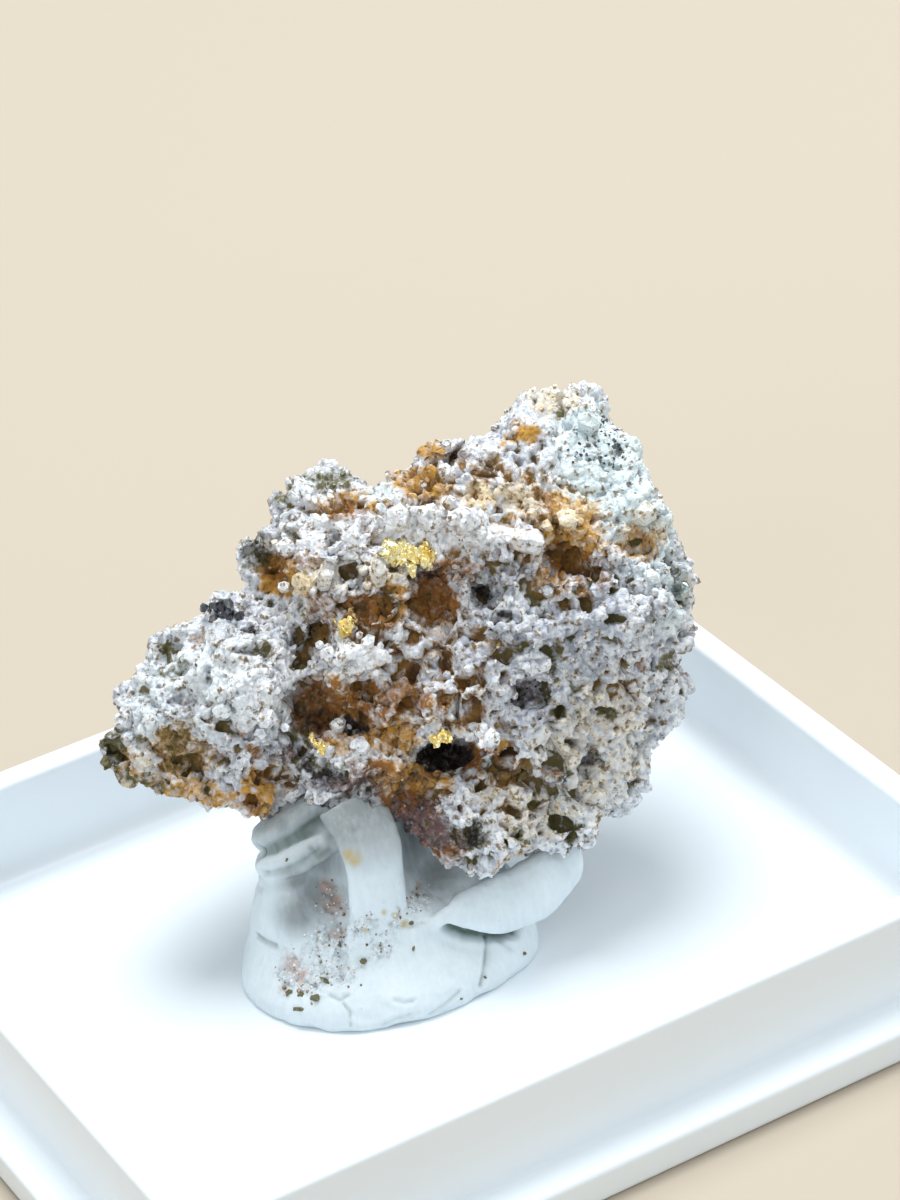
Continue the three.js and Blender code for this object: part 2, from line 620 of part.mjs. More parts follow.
const materials = {
  box: new THREE.MeshStandardMaterial({ color: 0xeef4fb, roughness: 0.35, metalness: 0 }),
  putty: new THREE.MeshStandardMaterial({ color: 0xb9c8c9, roughness: 0.8, metalness: 0 }),
  quartz: new THREE.MeshStandardMaterial({ color: 0xc9c6cf, roughness: 0.6, metalness: 0 }),
  gold: new THREE.MeshStandardMaterial({ color: 0xe0b040, roughness: 0.3, metalness: 1 }),
  darkMineral: new THREE.MeshStandardMaterial({ color: 0x2c2432, roughness: 0.3, metalness: 0.2 }),
  brightMineral: new THREE.MeshStandardMaterial({ color: 0x9fa8a4, roughness: 0.2, metalness: 0.8 }),
};

function piece(name, geometry, material) {
  const mesh = new THREE.Mesh(geometry, material);
  mesh.name = name;
  return mesh;
}

const part = new THREE.Group();
part.add(piece('box_base', boxBaseGeometry(), materials.box));
part.add(piece('mounting_putty', geometryOf(puttySolid()), materials.putty));

const turned = new THREE.Group();
turned.position.copy(specimenPlace);
turned.rotation.z = specimenTurn;
part.add(turned);

const specimen = new THREE.Group();
specimen.rotation.set(specimenLean, 0, specimenRoll);
turned.add(specimen);

specimen.add(piece('quartz_matrix', geometryOf(matrixSolid()), materials.quartz));
for (const [name, gold] of Object.entries(goldPieces)) {
  specimen.add(piece(name, geometryOf(goldSolid(gold, 0)), materials.gold));
}
specimen.add(piece('dark_crystal', geometryOf(darkCrystalSolid(0)), materials.darkMineral));
specimen.add(piece('bright_crystal', geometryOf(brightCrystalSolid(0)), materials.brightMineral));

export default part;
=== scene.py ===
"""Gold on matrix, dressed: drusy quartz with leafy gold, held by putty in a white box base.

Sizes are millimetres until a mesh is made, where MM turns them into metres. Two frames are used: the
row frame of the box base, +Z up, and the specimen frame, whose X runs right along the show face, Y up
it and Z out of it. Every shape is a formula over whole numpy arrays.
"""

from __future__ import annotations

import logging
import math
from dataclasses import dataclass, field
from enum import Enum
from typing import Any, Sequence

import bpy
import numpy as np
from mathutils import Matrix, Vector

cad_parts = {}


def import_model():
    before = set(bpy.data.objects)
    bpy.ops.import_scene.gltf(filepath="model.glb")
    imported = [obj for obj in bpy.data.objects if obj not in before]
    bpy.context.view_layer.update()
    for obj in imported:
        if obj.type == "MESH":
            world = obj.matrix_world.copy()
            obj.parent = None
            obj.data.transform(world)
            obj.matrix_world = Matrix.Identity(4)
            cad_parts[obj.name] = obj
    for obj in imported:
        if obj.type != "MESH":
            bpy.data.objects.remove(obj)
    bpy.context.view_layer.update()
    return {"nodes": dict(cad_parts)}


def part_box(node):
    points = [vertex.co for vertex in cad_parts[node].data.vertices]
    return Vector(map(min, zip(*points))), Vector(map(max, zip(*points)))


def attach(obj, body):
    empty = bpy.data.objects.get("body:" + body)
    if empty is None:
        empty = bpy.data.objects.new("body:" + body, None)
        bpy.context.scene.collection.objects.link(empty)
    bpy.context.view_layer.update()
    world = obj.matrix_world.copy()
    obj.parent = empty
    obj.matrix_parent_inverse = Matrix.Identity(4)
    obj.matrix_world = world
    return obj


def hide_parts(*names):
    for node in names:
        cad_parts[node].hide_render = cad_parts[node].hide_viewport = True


Array = np.ndarray
Triple = tuple[float, float, float]
Pair = tuple[float, float]
Material = bpy.types.Material
Object = bpy.types.Object
MM = 0.001
BODY = "root"
PUTTY_AXIS = (-2.1, 0.2)
PUTTY_RADIUS = 4.6
LOG = logging.getLogger("gold_on_matrix")


class Stain(Enum):
    """What tints the quartz; each is a mask that the meshes carry under its value as name."""

    OCHRE = "ochre"
    RUST = "rust"
    # Near-black in the pits: partly dark staining, partly painted shade.
    DARK = "dark"
    OLIVE = "olive"
    CREAM = "cream"
    PURPLE = "purple"
    CYAN = "cyan"
    WARM = "warm"
    CLEAN = "clean"


class Shading(Enum):
    """How a mesh's faces are shaded."""

    FLAT = "flat"
    SMOOTH = "smooth"


EARTHS = (Stain.OCHRE, Stain.RUST, Stain.OLIVE, Stain.CREAM)
DARKENING = (Stain.OCHRE, Stain.RUST, Stain.DARK, Stain.OLIVE, Stain.PURPLE)


def smooth(low: float, high: float, value: Array) -> Array:
    """0 at low, 1 at high and level at both: 3t² - 2t³ of the share t of the way between them."""
    t = np.clip((value - low) / (high - low), 0.0, 1.0)
    return t * t * (3.0 - 2.0 * t)


def hashed(i: Array, j: Array, k: Array, salt: int) -> Array:
    """Numbers from 0 to 1 that depend on three whole numbers and a salt.

    Formula: the four are multiplied by large odd numbers and combined by exclusive or, then mixed by
    two rounds of shift and multiply, all modulo 2 to the 32nd.

    Args:
        i, j, k: whole numbers of equal shape.
        salt: picks one of many independent sets of numbers.

    Returns:
        An array of floats of the same shape.
    """
    mask = np.uint64(0xFFFFFFFF)

    def times(value: Array, factor: int) -> Array:
        """The product modulo 2 to the 32nd."""
        return (value.astype(np.uint64) * np.uint64(factor)) & mask

    h = times(i.astype(np.uint32), 374761393) ^ times(j.astype(np.uint32), 668265263)
    h = h ^ times(k.astype(np.uint32), 1442695041) ^ np.uint64((salt * 1274126177) & 0xFFFFFFFF)
    h = times(h ^ (h >> np.uint64(15)), 2246822519)
    h = times(h ^ (h >> np.uint64(13)), 3266489917)
    return (h ^ (h >> np.uint64(16))).astype(np.float64) / 4294967296.0


@dataclass(frozen=True)
class Cells:
    """The jittered cells that points fall in: whole-number address, offset from the seed, distances."""

    address: Array
    away: Array
    nearest: Array
    second: Array


def cells_of(points: Array, size: float, salt: int) -> Cells:
    """Finds the nearest of the jittered seeds, one in each cube of a lattice.

    Formula: a seed is its cube's corner plus three hashed numbers; of the 27 cubes round a point the
    nearest and the second nearest seed count.

    Args:
        points: places, one a row, in millimetres.
        size: the lattice's pitch in millimetres.
        salt: picks the lattice's random numbers.

    Returns:
        The cells, with distances as shares of the pitch.
    """
    steps = np.stack(np.meshgrid(*[np.arange(-1, 2)] * 3, indexing="ij"), -1).reshape(-1, 3)
    found = []
    for part in np.array_split(points / size, max(1, len(points) // 60000)):
        c = np.floor(part).astype(np.int64)[:, None, :] + steps
        jitter = np.stack([hashed(c[..., 0], c[..., 1], c[..., 2], salt + n) for n in range(3)], -1)
        away = part[:, None, :] - (c + jitter)
        square = (away ** 2).sum(-1)
        order = np.argpartition(square, 1, axis=1)[:, :2]
        pair = np.take_along_axis(square, order, 1)
        first = np.where(pair[:, 0] <= pair[:, 1], order[:, 0], order[:, 1])
        rows = np.arange(len(part))
        found.append((c[rows, first], away[rows, first], pair.min(1), pair.max(1)))
    address, away, nearest, second = (np.concatenate(group) for group in zip(*found))
    return Cells(address, away, nearest, np.sqrt(second) - np.sqrt(nearest))


@dataclass(frozen=True)
class Grains:
    """Grains that meet in creases: height from about -0.5 to 0.5, crease share, own number."""

    height: Array
    crease: Array
    own: Array


def grains(points: Array, size: float, salt: int) -> Grains:
    """Works out grains of about one size.

    Formula: the height is 0.9 times the cell's own number less a half, plus the offset from its seed
    times its own tilt, plus 0.25, less 0.8 times the squared distance to the seed; the crease is 1
    where the two nearest seeds are equally far and 0 where they differ by a third of the pitch.

    Args:
        points: places, one a row, in millimetres.
        size: the grains' pitch.
        salt: picks their random numbers.

    Returns:
        The grains at each place.
    """
    cells = cells_of(points, size, salt)
    number = [hashed(*cells.address.T, salt + n) for n in range(3, 7)]
    tilt = np.stack(number[:3], -1) - 0.5
    height = 0.9 * (number[3] - 0.5) + (cells.away * tilt).sum(-1) + 0.25 - 0.8 * cells.nearest
    return Grains(height, 1.0 - smooth(0.0, 0.33, cells.second), hashed(*cells.address.T, salt + 7))


def wobble(points: Array, size: float, salt: int) -> Array:
    """Smooth noise from -1 to 1: hashed numbers at a lattice's corners, blended between them."""
    q = points / size
    low = np.floor(q).astype(np.int64)
    t = q - low
    t = t * t * (3.0 - 2.0 * t)
    total = np.zeros(len(points))
    for corner in range(8):
        step = np.array([corner & 1, (corner >> 1) & 1, corner >> 2])
        weight = np.where(step == 1, t, 1.0 - t).prod(-1)
        total += weight * hashed(*(low + step).T, salt)
    return 2.0 * total - 1.0


def segment_distance(points: Array, route: Sequence[Sequence[float]]) -> Array:
    """The distance from points to a line of straight stretches through the route's points."""
    ends = np.asarray(route, float)
    nearest = np.full(len(points), np.inf)
    for start, stop in zip(ends[:-1], ends[1:]):
        along = stop - start
        t = np.clip(((points - start) @ along) / (along @ along), 0.0, 1.0)
        gap = points - start - t[:, None] * along
        nearest = np.minimum(nearest, np.sqrt((gap ** 2).sum(-1)))
    return nearest


def unit(vectors: Array) -> Array:
    """The vectors at length 1."""
    return vectors / np.maximum(np.linalg.norm(vectors, axis=-1, keepdims=True), 1e-9)


def face_corners(faces: Array) -> tuple[Array, Array]:
    """All faces' corner indexes in one row, and the face that each belongs to."""
    return faces.reshape(-1), np.repeat(np.arange(len(faces)), faces.shape[1])


def face_products(points: Array, faces: Array) -> Array:
    """Twice each face's area along its outward direction, for triangles or quads."""
    across = points[faces[:, 2]] - points[faces[:, 0]]
    return np.cross(across, points[faces[:, -1]] - points[faces[:, 1]])


def vertex_normals(points: Array, faces: Array) -> Array:
    """Outward directions at the vertices: the sum of the neighbouring faces' products."""
    face = face_products(points, faces)
    corner, owner = face_corners(faces)
    sums = [np.bincount(corner, face[owner, axis], len(points)) for axis in range(3)]
    return unit(np.stack(sums, -1))


def relaxed(values: Array, faces: Array, rounds: int) -> Array:
    """Values at the vertices, each replaced by the mean of its faces' means, over and over.

    Args:
        values: one row a vertex.
        faces: vertex indexes, one face a row.
        rounds: how many times.

    Returns:
        An array like values.
    """
    corner, owner = face_corners(faces)
    count = np.bincount(corner, minlength=len(values))[:, None]
    for _ in range(rounds):
        mean = values[faces].mean(1)
        sums = [np.bincount(corner, mean[owner, axis], len(values)) for axis in range(values.shape[1])]
        values = np.stack(sums, -1) / count
    return values


def frame_round(direction: Array) -> tuple[Array, Array]:
    """Two unit directions at right angles to each given one and to each other."""
    helper = np.where(np.abs(direction[:, 2:3]) < 0.8, [[0.0, 0.0, 1.0]], [[1.0, 0.0, 0.0]])
    first = unit(np.cross(helper, direction))
    return first, np.cross(direction, first)


@dataclass
class Surface:
    """A mesh before Blender has it: points in millimetres, faces by their number of corners, masks."""

    points: Array
    faces: list[Array]
    masks: dict[str, Array] = field(default_factory=dict)

    def joined(self, other: "Surface") -> "Surface":
        """This surface and another as one, with the masks that both have."""
        shift = len(self.points)
        masks = {n: np.concatenate([self.masks[n], other.masks[n]]) for n in self.masks if n in other.masks}
        faces = self.faces + [f + shift for f in other.faces]
        return Surface(np.concatenate([self.points, other.points]), faces, masks)

    def object(self, name: str, shading: Shading = Shading.SMOOTH) -> Object:
        """Makes a bare object, linked to the scene, with its place in its mesh.

        Args:
            name: the object's name.
            shading: flat or smooth faces.

        Returns:
            The object.
        """
        mesh = bpy.data.meshes.new(name)
        mesh.vertices.add(len(self.points))
        mesh.vertices.foreach_set("co", (self.points * MM).astype(np.float32).ravel())
        sizes = np.concatenate([np.full(len(f), f.shape[1]) for f in self.faces])
        corners = np.concatenate([f.ravel() for f in self.faces]).astype(np.int32)
        mesh.loops.add(len(corners))
        mesh.loops.foreach_set("vertex_index", corners)
        mesh.polygons.add(len(sizes))
        mesh.polygons.foreach_set("loop_start", (np.cumsum(sizes) - sizes).astype(np.int32))
        mesh.update(calc_edges=True)
        mesh.polygons.foreach_set("use_smooth", np.full(len(sizes), shading is Shading.SMOOTH))
        for mask, values in self.masks.items():
            layer = mesh.attributes.new(mask, "FLOAT", "POINT")
            layer.data.foreach_set("value", values.astype(np.float32))
        mesh.validate()
        mesh.update()
        made = bpy.data.objects.new(name, mesh)
        bpy.context.scene.collection.objects.link(made)
        return made

    def piece(self, name: str, shading: Shading, material: Material) -> Object:
        """Makes a finished piece of the part.

        Args:
            name: the piece's name.
            shading: flat or smooth faces.
            material: its one material.

        Returns:
            The object, linked to the scene.
        """
        made = self.object(name, shading)
        made.data.materials.append(material)
        LOG.info("%s: %d triangles", name, sum(len(f) * (f.shape[1] - 2) for f in self.faces))
        return made

    def through(self, kind: str, settings: dict[str, Any], corners: int) -> tuple[Array, Array]:
        """Passes the surface through one of Blender's modifiers and reads it back.

        Args:
            kind: the modifier's type.
            settings: its properties.
            corners: how many corners each face that comes out has.

        Returns:
            Points in millimetres, and faces.
        """
        passing = self.object("passing")
        modifier = passing.modifiers.new("step", kind)
        for key, value in settings.items():
            setattr(modifier, key, value)
        graph = bpy.context.evaluated_depsgraph_get()
        mesh = bpy.data.meshes.new_from_object(passing.evaluated_get(graph))
        points = np.empty(len(mesh.vertices) * 3, np.float32)
        mesh.vertices.foreach_get("co", points)
        faces = np.empty(len(mesh.loops), np.int32)
        mesh.loops.foreach_get("vertex_index", faces)
        bpy.data.objects.remove(passing)
        bpy.data.meshes.remove(mesh)
        return points.reshape(-1, 3).astype(float) / MM, faces.reshape(-1, corners)


def settle(piece: Object, slot: str, *nodes: str) -> Object:
    """Fixes a piece to the body and hides the nodes that it stands for."""
    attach(piece, BODY)
    if nodes:
        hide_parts(*nodes)
    return piece


def grid_faces(rows: int, columns: int, closed: bool) -> Array:
    """Quads over a grid of rows and columns, whose columns may run round and close."""
    i, j = np.meshgrid(np.arange(rows - 1), np.arange(columns if closed else columns - 1), indexing="ij")
    k = (j + 1) % columns
    quads = np.stack([i * columns + j, i * columns + k, (i + 1) * columns + k, (i + 1) * columns + j], -1)
    return quads.reshape(-1, 4)


def loft(loops: Array) -> list[Array]:
    """Faces over closed loops, shaped rows × columns × 3, with an n-sided face at each end."""
    rows, columns = loops.shape[:2]
    first = np.arange(columns)[::-1][None, :]
    last = (np.arange(columns) + (rows - 1) * columns)[None, :]
    return [grid_faces(rows, columns, True), first, last]


class Socket:
    """One output of a node, on which Python's operators add Math nodes."""

    def __init__(self, shader: "Shader", link: bpy.types.NodeSocket) -> None:
        """Keeps the shader that the socket belongs to."""
        self.shader = shader
        self.link = link

    def _math(self, operation: str, *values: Any, clamp: bool = False) -> "Socket":
        """Adds a Math node over the values."""
        settings = {"operation": operation, "use_clamp": clamp}
        return self.shader.node("ShaderNodeMath", settings, dict(enumerate(values)))

    def __add__(self, other: Any) -> "Socket":
        """self + other."""
        return self._math("ADD", self, other)

    def __radd__(self, other: Any) -> "Socket":
        """other + self."""
        return self._math("ADD", other, self)

    def __sub__(self, other: Any) -> "Socket":
        """self - other."""
        return self._math("SUBTRACT", self, other)

    def __rsub__(self, other: Any) -> "Socket":
        """other - self."""
        return self._math("SUBTRACT", other, self)

    def __mul__(self, other: Any) -> "Socket":
        """self * other."""
        return self._math("MULTIPLY", self, other)

    def __rmul__(self, other: Any) -> "Socket":
        """other * self."""
        return self._math("MULTIPLY", other, self)

    def clamped(self) -> "Socket":
        """The value held between 0 and 1."""
        return self._math("MULTIPLY", self, 1.0, clamp=True)

    def step(self, low: float, high: float) -> "Socket":
        """0 at low and 1 at high, in a straight line."""
        return ((self - low) * (1.0 / (high - low))).clamped()


class Shader:
    """One material and its nodes."""

    def __init__(self, name: str) -> None:
        """Starts a material with a Principled shader."""
        self.material = bpy.data.materials.new(name)
        self.material.use_nodes = True
        self.tree = self.material.node_tree
        self.surface = next(n for n in self.tree.nodes if n.type == "BSDF_PRINCIPLED")

    def node(self, kind: str, settings: dict[str, Any], inputs: dict[Any, Any], output: Any = 0) -> Socket:
        """Adds any node.

        Args:
            kind: the node's type.
            settings: its properties; stops is a ramp's list of place and colour.
            inputs: values or sockets by input name or number.
            output: the output's name or number.

        Returns:
            The output as a socket.
        """
        made = self.tree.nodes.new(kind)
        for key, value in settings.items():
            if key == "stops":
                ramp = made.color_ramp.elements
                while len(ramp) < len(value):
                    ramp.new(0.5)
                for element, (place, colour) in zip(ramp, value):
                    element.position = place
                    element.color = (*colour, 1.0)
            else:
                setattr(made, key, value)
        for key, value in inputs.items():
            self.feed(made.inputs[key], value)
        return Socket(self, made.outputs[output])

    def feed(self, target: bpy.types.NodeSocket, value: Any) -> None:
        """Links a socket to an input, or sets the input's own value."""
        if isinstance(value, Socket):
            self.tree.links.new(value.link, target)
        elif isinstance(value, tuple) and len(value) == 3 and len(target.default_value) == 4:
            target.default_value = (*value, 1.0)
        else:
            target.default_value = value

    def mask(self, name: str) -> Socket:
        """The mesh's own mask of that name."""
        return self.node("ShaderNodeAttribute", {"attribute_name": name}, {}, "Fac")

    def place(self) -> Socket:
        """Object coordinates, in metres."""
        return self.node("ShaderNodeTexCoord", {}, {}, "Object")

    def noise(self, place: Socket, size: float, detail: float = 3.0, rough: float = 0.55) -> Socket:
        """Noise from 0 to 1 whose blotches are about size millimetres across."""
        inputs = {"Vector": place, "Scale": 1.0 / (size * MM), "Detail": detail, "Roughness": rough}
        return self.node("ShaderNodeTexNoise", {}, inputs, "Fac")

    def mix(self, share: Any, first: Any, second: Any) -> Socket:
        """A colour between two others."""
        return self.node("ShaderNodeMix", {"data_type": "RGBA"}, {0: share, 6: first, 7: second}, 2)

    def bump(self, height: Socket, strength: float, distance: float) -> Socket:
        """A normal that follows a height, with the distance in millimetres."""
        inputs = {"Height": height, "Strength": strength, "Distance": distance * MM}
        return self.node("ShaderNodeBump", {}, inputs)

    def finish(self, inputs: dict[str, Any]) -> Material:
        """Feeds the Principled shader and returns the material."""
        for key, value in inputs.items():
            self.feed(self.surface.inputs[key], value)
        return self.material


Colour = Triple


@dataclass(frozen=True)
class QuartzFinish:
    """Sugary quartz: white to lilac grey, stained, with painted shade darkening creases, shaded faces and
    hollows.
    """

    white: Colour = (0.93, 0.95, 0.97)
    # lilac: random grain tone, and also painted shade in creases, cups, hollow rims and shaded faces.
    lilac: Colour = (0.46, 0.50, 0.58)
    cream: Colour = (0.80, 0.67, 0.45)
    cyan: Colour = (0.70, 0.84, 0.87)
    ochre: Colour = (0.58, 0.30, 0.045)
    rust: Colour = (0.29, 0.11, 0.014)
    # dark: near-black in the pits, partly dark staining and partly painted shade.
    dark: Colour = (0.018, 0.011, 0.008)
    olive: Colour = (0.13, 0.115, 0.04)
    purple: Colour = (0.10, 0.065, 0.085)
    # hollow and amber: colours of the deepest hollows, partly iron staining and partly painted shade.
    hollow: Colour = (0.13, 0.062, 0.022)
    amber: Colour = (0.40, 0.20, 0.035)
    gloss: float = 0.34
    earthy: float = 0.82

    def build(self) -> Material:
        """Mixes the tints in order from the palest, each with a ragged edge from fine noise."""
        s = Shader("drusy_quartz")
        place = s.place()
        speck = (s.noise(place, 0.3, 3.0, 0.6) - 0.5) * 2.6 + 0.5
        blotch = (s.noise(place, 1.3, 2.0) - 0.5) * 2.6 + 0.5
        mottle = s.noise(place, 0.085, 1.0)
        cell = s.node("ShaderNodeTexVoronoi", {"feature": "SMOOTH_F1"}, {
            "Vector": place, "Scale": 1.0 / (0.24 * MM), "Smoothness": 0.25,
        }, "Distance")

        def veil(stain: Stain, ragged: float) -> Socket:
            """A stain's mask with its edge broken up by the fine noise."""
            return (s.mask(stain.value) * 1.65 + (speck - 0.5) * ragged - 0.2).clamped()

        # Painted shade: the tone mask and the cell edges pull the white towards lilac grey in creases, cups
        # and shaded faces; the rest of the tone varies at random from grain to grain.
        tone = s.mask("tone") + (speck - 0.5) * 0.35 + (blotch - 0.5) * 0.3 - cell.step(0.45, 0.8) * 0.5
        colour = s.mix(tone.clamped(), self.lilac, self.white)
        colour = s.mix(s.mask(Stain.CYAN.value) * 0.75, colour, self.cyan)
        colour = s.mix(veil(Stain.CREAM, 1.0), colour, self.cream)
        colour = s.mix(veil(Stain.OCHRE, 1.3), colour, self.ochre)
        colour = s.mix(veil(Stain.RUST, 1.2), colour, self.rust)
        colour = s.mix(veil(Stain.PURPLE, 1.5) * 0.85, colour, self.purple)
        warm = (s.mask(Stain.WARM.value) * 1.2 + (blotch - 0.5) * 0.5 - 0.08).clamped()
        # The hollow mask is partly iron staining and partly painted shade: rims go lilac grey as painted
        # shade unless warm, and the deepest parts olive, amber and brown.
        edge = (s.mask("hollow") * (speck * 1.4 + 0.8) - 0.12).clamped()
        rim = s.mix(warm, self.lilac, self.ochre)
        brown = s.mix(((s.noise(place, 0.55, 2.0) - 0.5) * 3.4 + 0.42).clamped(), self.hollow, self.amber)
        deep = s.mix(warm, self.olive, brown)
        colour = s.mix(edge, colour, s.mix(edge.step(0.35, 0.9), rim, deep))
        colour = s.mix(veil(Stain.OLIVE, 1.4), colour, self.olive)
        colour = s.mix(veil(Stain.DARK, 0.8), colour, self.dark)
        stained = (s.mask(Stain.OCHRE.value) + s.mask(Stain.RUST.value) + s.mask("hollow")).clamped()
        gloss = self.gloss + stained * (self.earthy - self.gloss) + (speck - 0.5) * 0.2
        normal = s.bump(speck * 0.5 - cell * 1.2 + mottle * 0.5, 0.8, 0.1)
        return s.finish({
            "Base Color": colour,
            "Roughness": gloss.clamped(),
            "Normal": normal,
            "IOR": 1.54,
        })


@dataclass(frozen=True)
class GoldFinish:
    """Bright native gold, paler where it catches the light and painted darker brownish in its folds as
    shade.
    """

    rich: Colour = (1.0, 0.72, 0.16)
    pale: Colour = (1.0, 0.92, 0.56)
    fold: Colour = (0.42, 0.22, 0.04)
    gloss: float = 0.28

    def build(self) -> Material:
        """Mixes pale and rich gold by mask, with fine noise in gloss and bump."""
        s = Shader("native_gold")
        place = s.place()
        fine = s.noise(place, 0.12, 3.0)
        # Painted highlight: the pale mask; painted shade: the hollow mask, towards the fold colour.
        colour = s.mix((s.mask("pale") + (fine - 0.5) * 0.6).clamped(), self.rich, self.pale)
        colour = s.mix((s.mask("hollow") + (fine - 0.6) * 0.8).clamped(), colour, self.fold)
        return s.finish({
            "Base Color": colour,
            "Metallic": 1.0,
            "Roughness": (self.gloss + (fine - 0.5) * 0.35).clamped(),
            "Normal": s.bump(fine, 0.5, 0.03),
        })


@dataclass(frozen=True)
class CrystalFinish:
    """Glossy crystal faces that shift between a body colour and a painted sheen, with fine growth lines."""

    name: str
    body: Colour
    painted_sheen: Colour
    metal: float
    gloss: float
    coat: float

    def build(self) -> Material:
        """Mixes the body colour and the painted sheen by noise and by the pale mask."""
        s = Shader(self.name)
        place = s.place()
        patch = s.noise(place, 0.5, 2.0)
        lines = s.node("ShaderNodeTexWave", {"wave_type": "BANDS"}, {
            "Vector": place, "Scale": 1.0 / (0.35 * MM), "Distortion": 2.0, "Detail": 2.0,
        }, "Fac")
        colour = s.mix((s.mask("pale") + (patch - 0.5) * 0.9).clamped(), self.body, self.painted_sheen)
        return s.finish({
            "Base Color": colour,
            "Metallic": self.metal,
            "Roughness": (self.gloss + (patch - 0.5) * 0.25 + lines * 0.08).clamped(),
            "Coat Weight": self.coat,
            "Normal": s.bump(lines, 0.25, 0.012),
        })


# The sheen colours are painted glints and highlights.
DARK_MINERAL = CrystalFinish(
    "dark_mineral", body=(0.02, 0.015, 0.028), painted_sheen=(0.11, 0.13, 0.14), metal=0.0, gloss=0.18, coat=0.7)
BRIGHT_MINERAL = CrystalFinish(
    "bright_mineral", body=(0.045, 0.075, 0.055), painted_sheen=(0.72, 0.76, 0.75), metal=0.9, gloss=0.16, coat=0.3)


@dataclass(frozen=True)
class PuttyFinish:
    """Kneaded pale blue-grey putty, matt, with rock dust and rust pressed into it."""

    pale: Colour = (0.76, 0.83, 0.87)
    grey: Colour = (0.60, 0.675, 0.70)
    # deep: painted shade under the rock and between the folds.
    deep: Colour = (0.27, 0.30, 0.31)
    # crease: painted shade along the folds.
    crease: Colour = (0.10, 0.155, 0.13)
    rust: Colour = (0.47, 0.27, 0.20)
    ochre: Colour = (0.52, 0.38, 0.13)
    dust: Colour = (0.34, 0.34, 0.30)

    def build(self) -> Material:
        """Mottles the grey, paints shade under the rock and into the folds, then adds dirt where the masks
        say.
        """
        s = Shader("mounting_putty")
        place = s.place()
        blotch = s.noise(place, 2.2, 3.0)
        fine = s.noise(place, 0.35, 3.0, 0.6)
        grit = s.noise(place, 0.16, 3.0)
        upright = s.node("ShaderNodeMapping", {}, {"Vector": place, "Scale": (1.0, 1.0, 0.12)})
        strand = s.noise(upright, 0.22, 3.0, 0.6)
        pale = (blotch * 1.2 + (fine - 0.5) * 0.3 + (strand - 0.5) * 0.8).clamped()
        colour = s.mix(pale, self.grey, self.pale)
        # Painted shade: the shade mask darkens towards deep grey, and the fold mask towards the crease
        # colour.
        colour = s.mix((s.mask("shade") * 1.25 + (strand - 0.5) * 0.5 - 0.15).clamped(), colour, self.deep)
        colour = s.mix(s.mask("fold").clamped(), colour, self.crease)
        dirt = (s.mask("dirt") * 1.2 + (fine - 0.5) * 2.0 - 0.3).clamped()
        colour = s.mix(dirt * 0.65, colour, self.rust)
        smear = (s.mask("ochre") * 1.3 + (fine - 0.5) * 1.2 - 0.25).clamped()
        colour = s.mix(smear * 0.8, colour, self.ochre)
        dust = (s.mask("dust") * 1.1 + (grit - 0.5) * 3.4 - 0.75).clamped()
        colour = s.mix(dust * 0.6, colour, self.dust)
        normal = s.bump(fine + grit * 0.3 + strand * 0.5, 0.30, 0.05)
        return s.finish({
            "Base Color": colour,
            "Roughness": (0.62 + (fine - 0.5) * 0.3 + dirt * 0.15).clamped(),
            "Normal": normal,
            "Specular IOR Level": 0.4,
        })


@dataclass(frozen=True)
class PlasticFinish:
    """Moulded white polystyrene with a soft gloss, faint flow marks and light scuffs."""

    white: Colour = (0.86, 0.915, 0.955)
    shade: Colour = (0.80, 0.87, 0.925)
    gloss: float = 0.30

    def build(self) -> Material:
        """Lays faint blotches and scuffs over one white."""
        s = Shader("white_polystyrene")
        place = s.place()
        flow = s.noise(place, 9.0, 2.0)
        stretch = s.node("ShaderNodeMapping", {}, {"Vector": place, "Scale": (1.0, 7.0, 7.0)})
        scuff = s.noise(stretch, 1.2, 2.0, 0.7).step(0.60, 0.72)
        colour = s.mix(flow * 0.6, self.white, self.shade)
        return s.finish({
            "Base Color": colour,
            "Roughness": (self.gloss + scuff * 0.14 + (flow - 0.5) * 0.1).clamped(),
        })


@dataclass(frozen=True)
class FloorFinish:
    """A plain pale floor."""

    pale: Colour = (0.52, 0.45, 0.36)

    def build(self) -> Material:
        """One matt colour with the faintest mottle."""
        s = Shader("pale_floor")
        cloud = s.noise(s.place(), 60.0, 2.0)
        darker = tuple(0.97 * value for value in self.pale)
        return s.finish({"Base Color": s.mix(cloud, darker, self.pale), "Roughness": 0.85})


@dataclass(frozen=True)
class SpecimenFrame:
    """Where the specimen stands: its middle in the row frame, and its turn, lean and roll."""

    place: Triple = (3.3, 2.8, 12.2)
    turn: float = -28.3
    lean: float = 58.2
    roll: float = -5.5

    def rotation(self) -> Array:
        """The turn about Z, times the lean about X, times the roll about Z."""
        turn, lean, roll = (math.radians(angle) for angle in (self.turn, self.lean, self.roll))

        def about_z(angle: float) -> Array:
            """A turn about Z."""
            c, s = math.cos(angle), math.sin(angle)
            return np.array([[c, -s, 0.0], [s, c, 0.0], [0.0, 0.0, 1.0]])

        c, s = math.cos(lean), math.sin(lean)
        about_x = np.array([[1.0, 0.0, 0.0], [0.0, c, -s], [0.0, s, c]])
        return about_z(turn) @ about_x @ about_z(roll)

    def to_row(self, points: Array) -> Array:
        """Points of the specimen frame, in the row frame."""
        return points @ self.rotation().T + np.array(self.place)

    def from_row(self, points: Array) -> Array:
        """Points of the row frame, in the specimen frame."""
        return (points - np.array(self.place)) @ self.rotation()

    def up(self) -> Array:
        """The row frame's upward direction, in the specimen frame."""
        return self.rotation()[2]

    def node_middle(self, node: str) -> Array:
        """The middle of a CAD node's box, in the specimen frame."""
        low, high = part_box(node)
        middle = (np.array(low) + np.array(high)) / (2.0 * MM)
        return self.from_row(middle[None])[0]


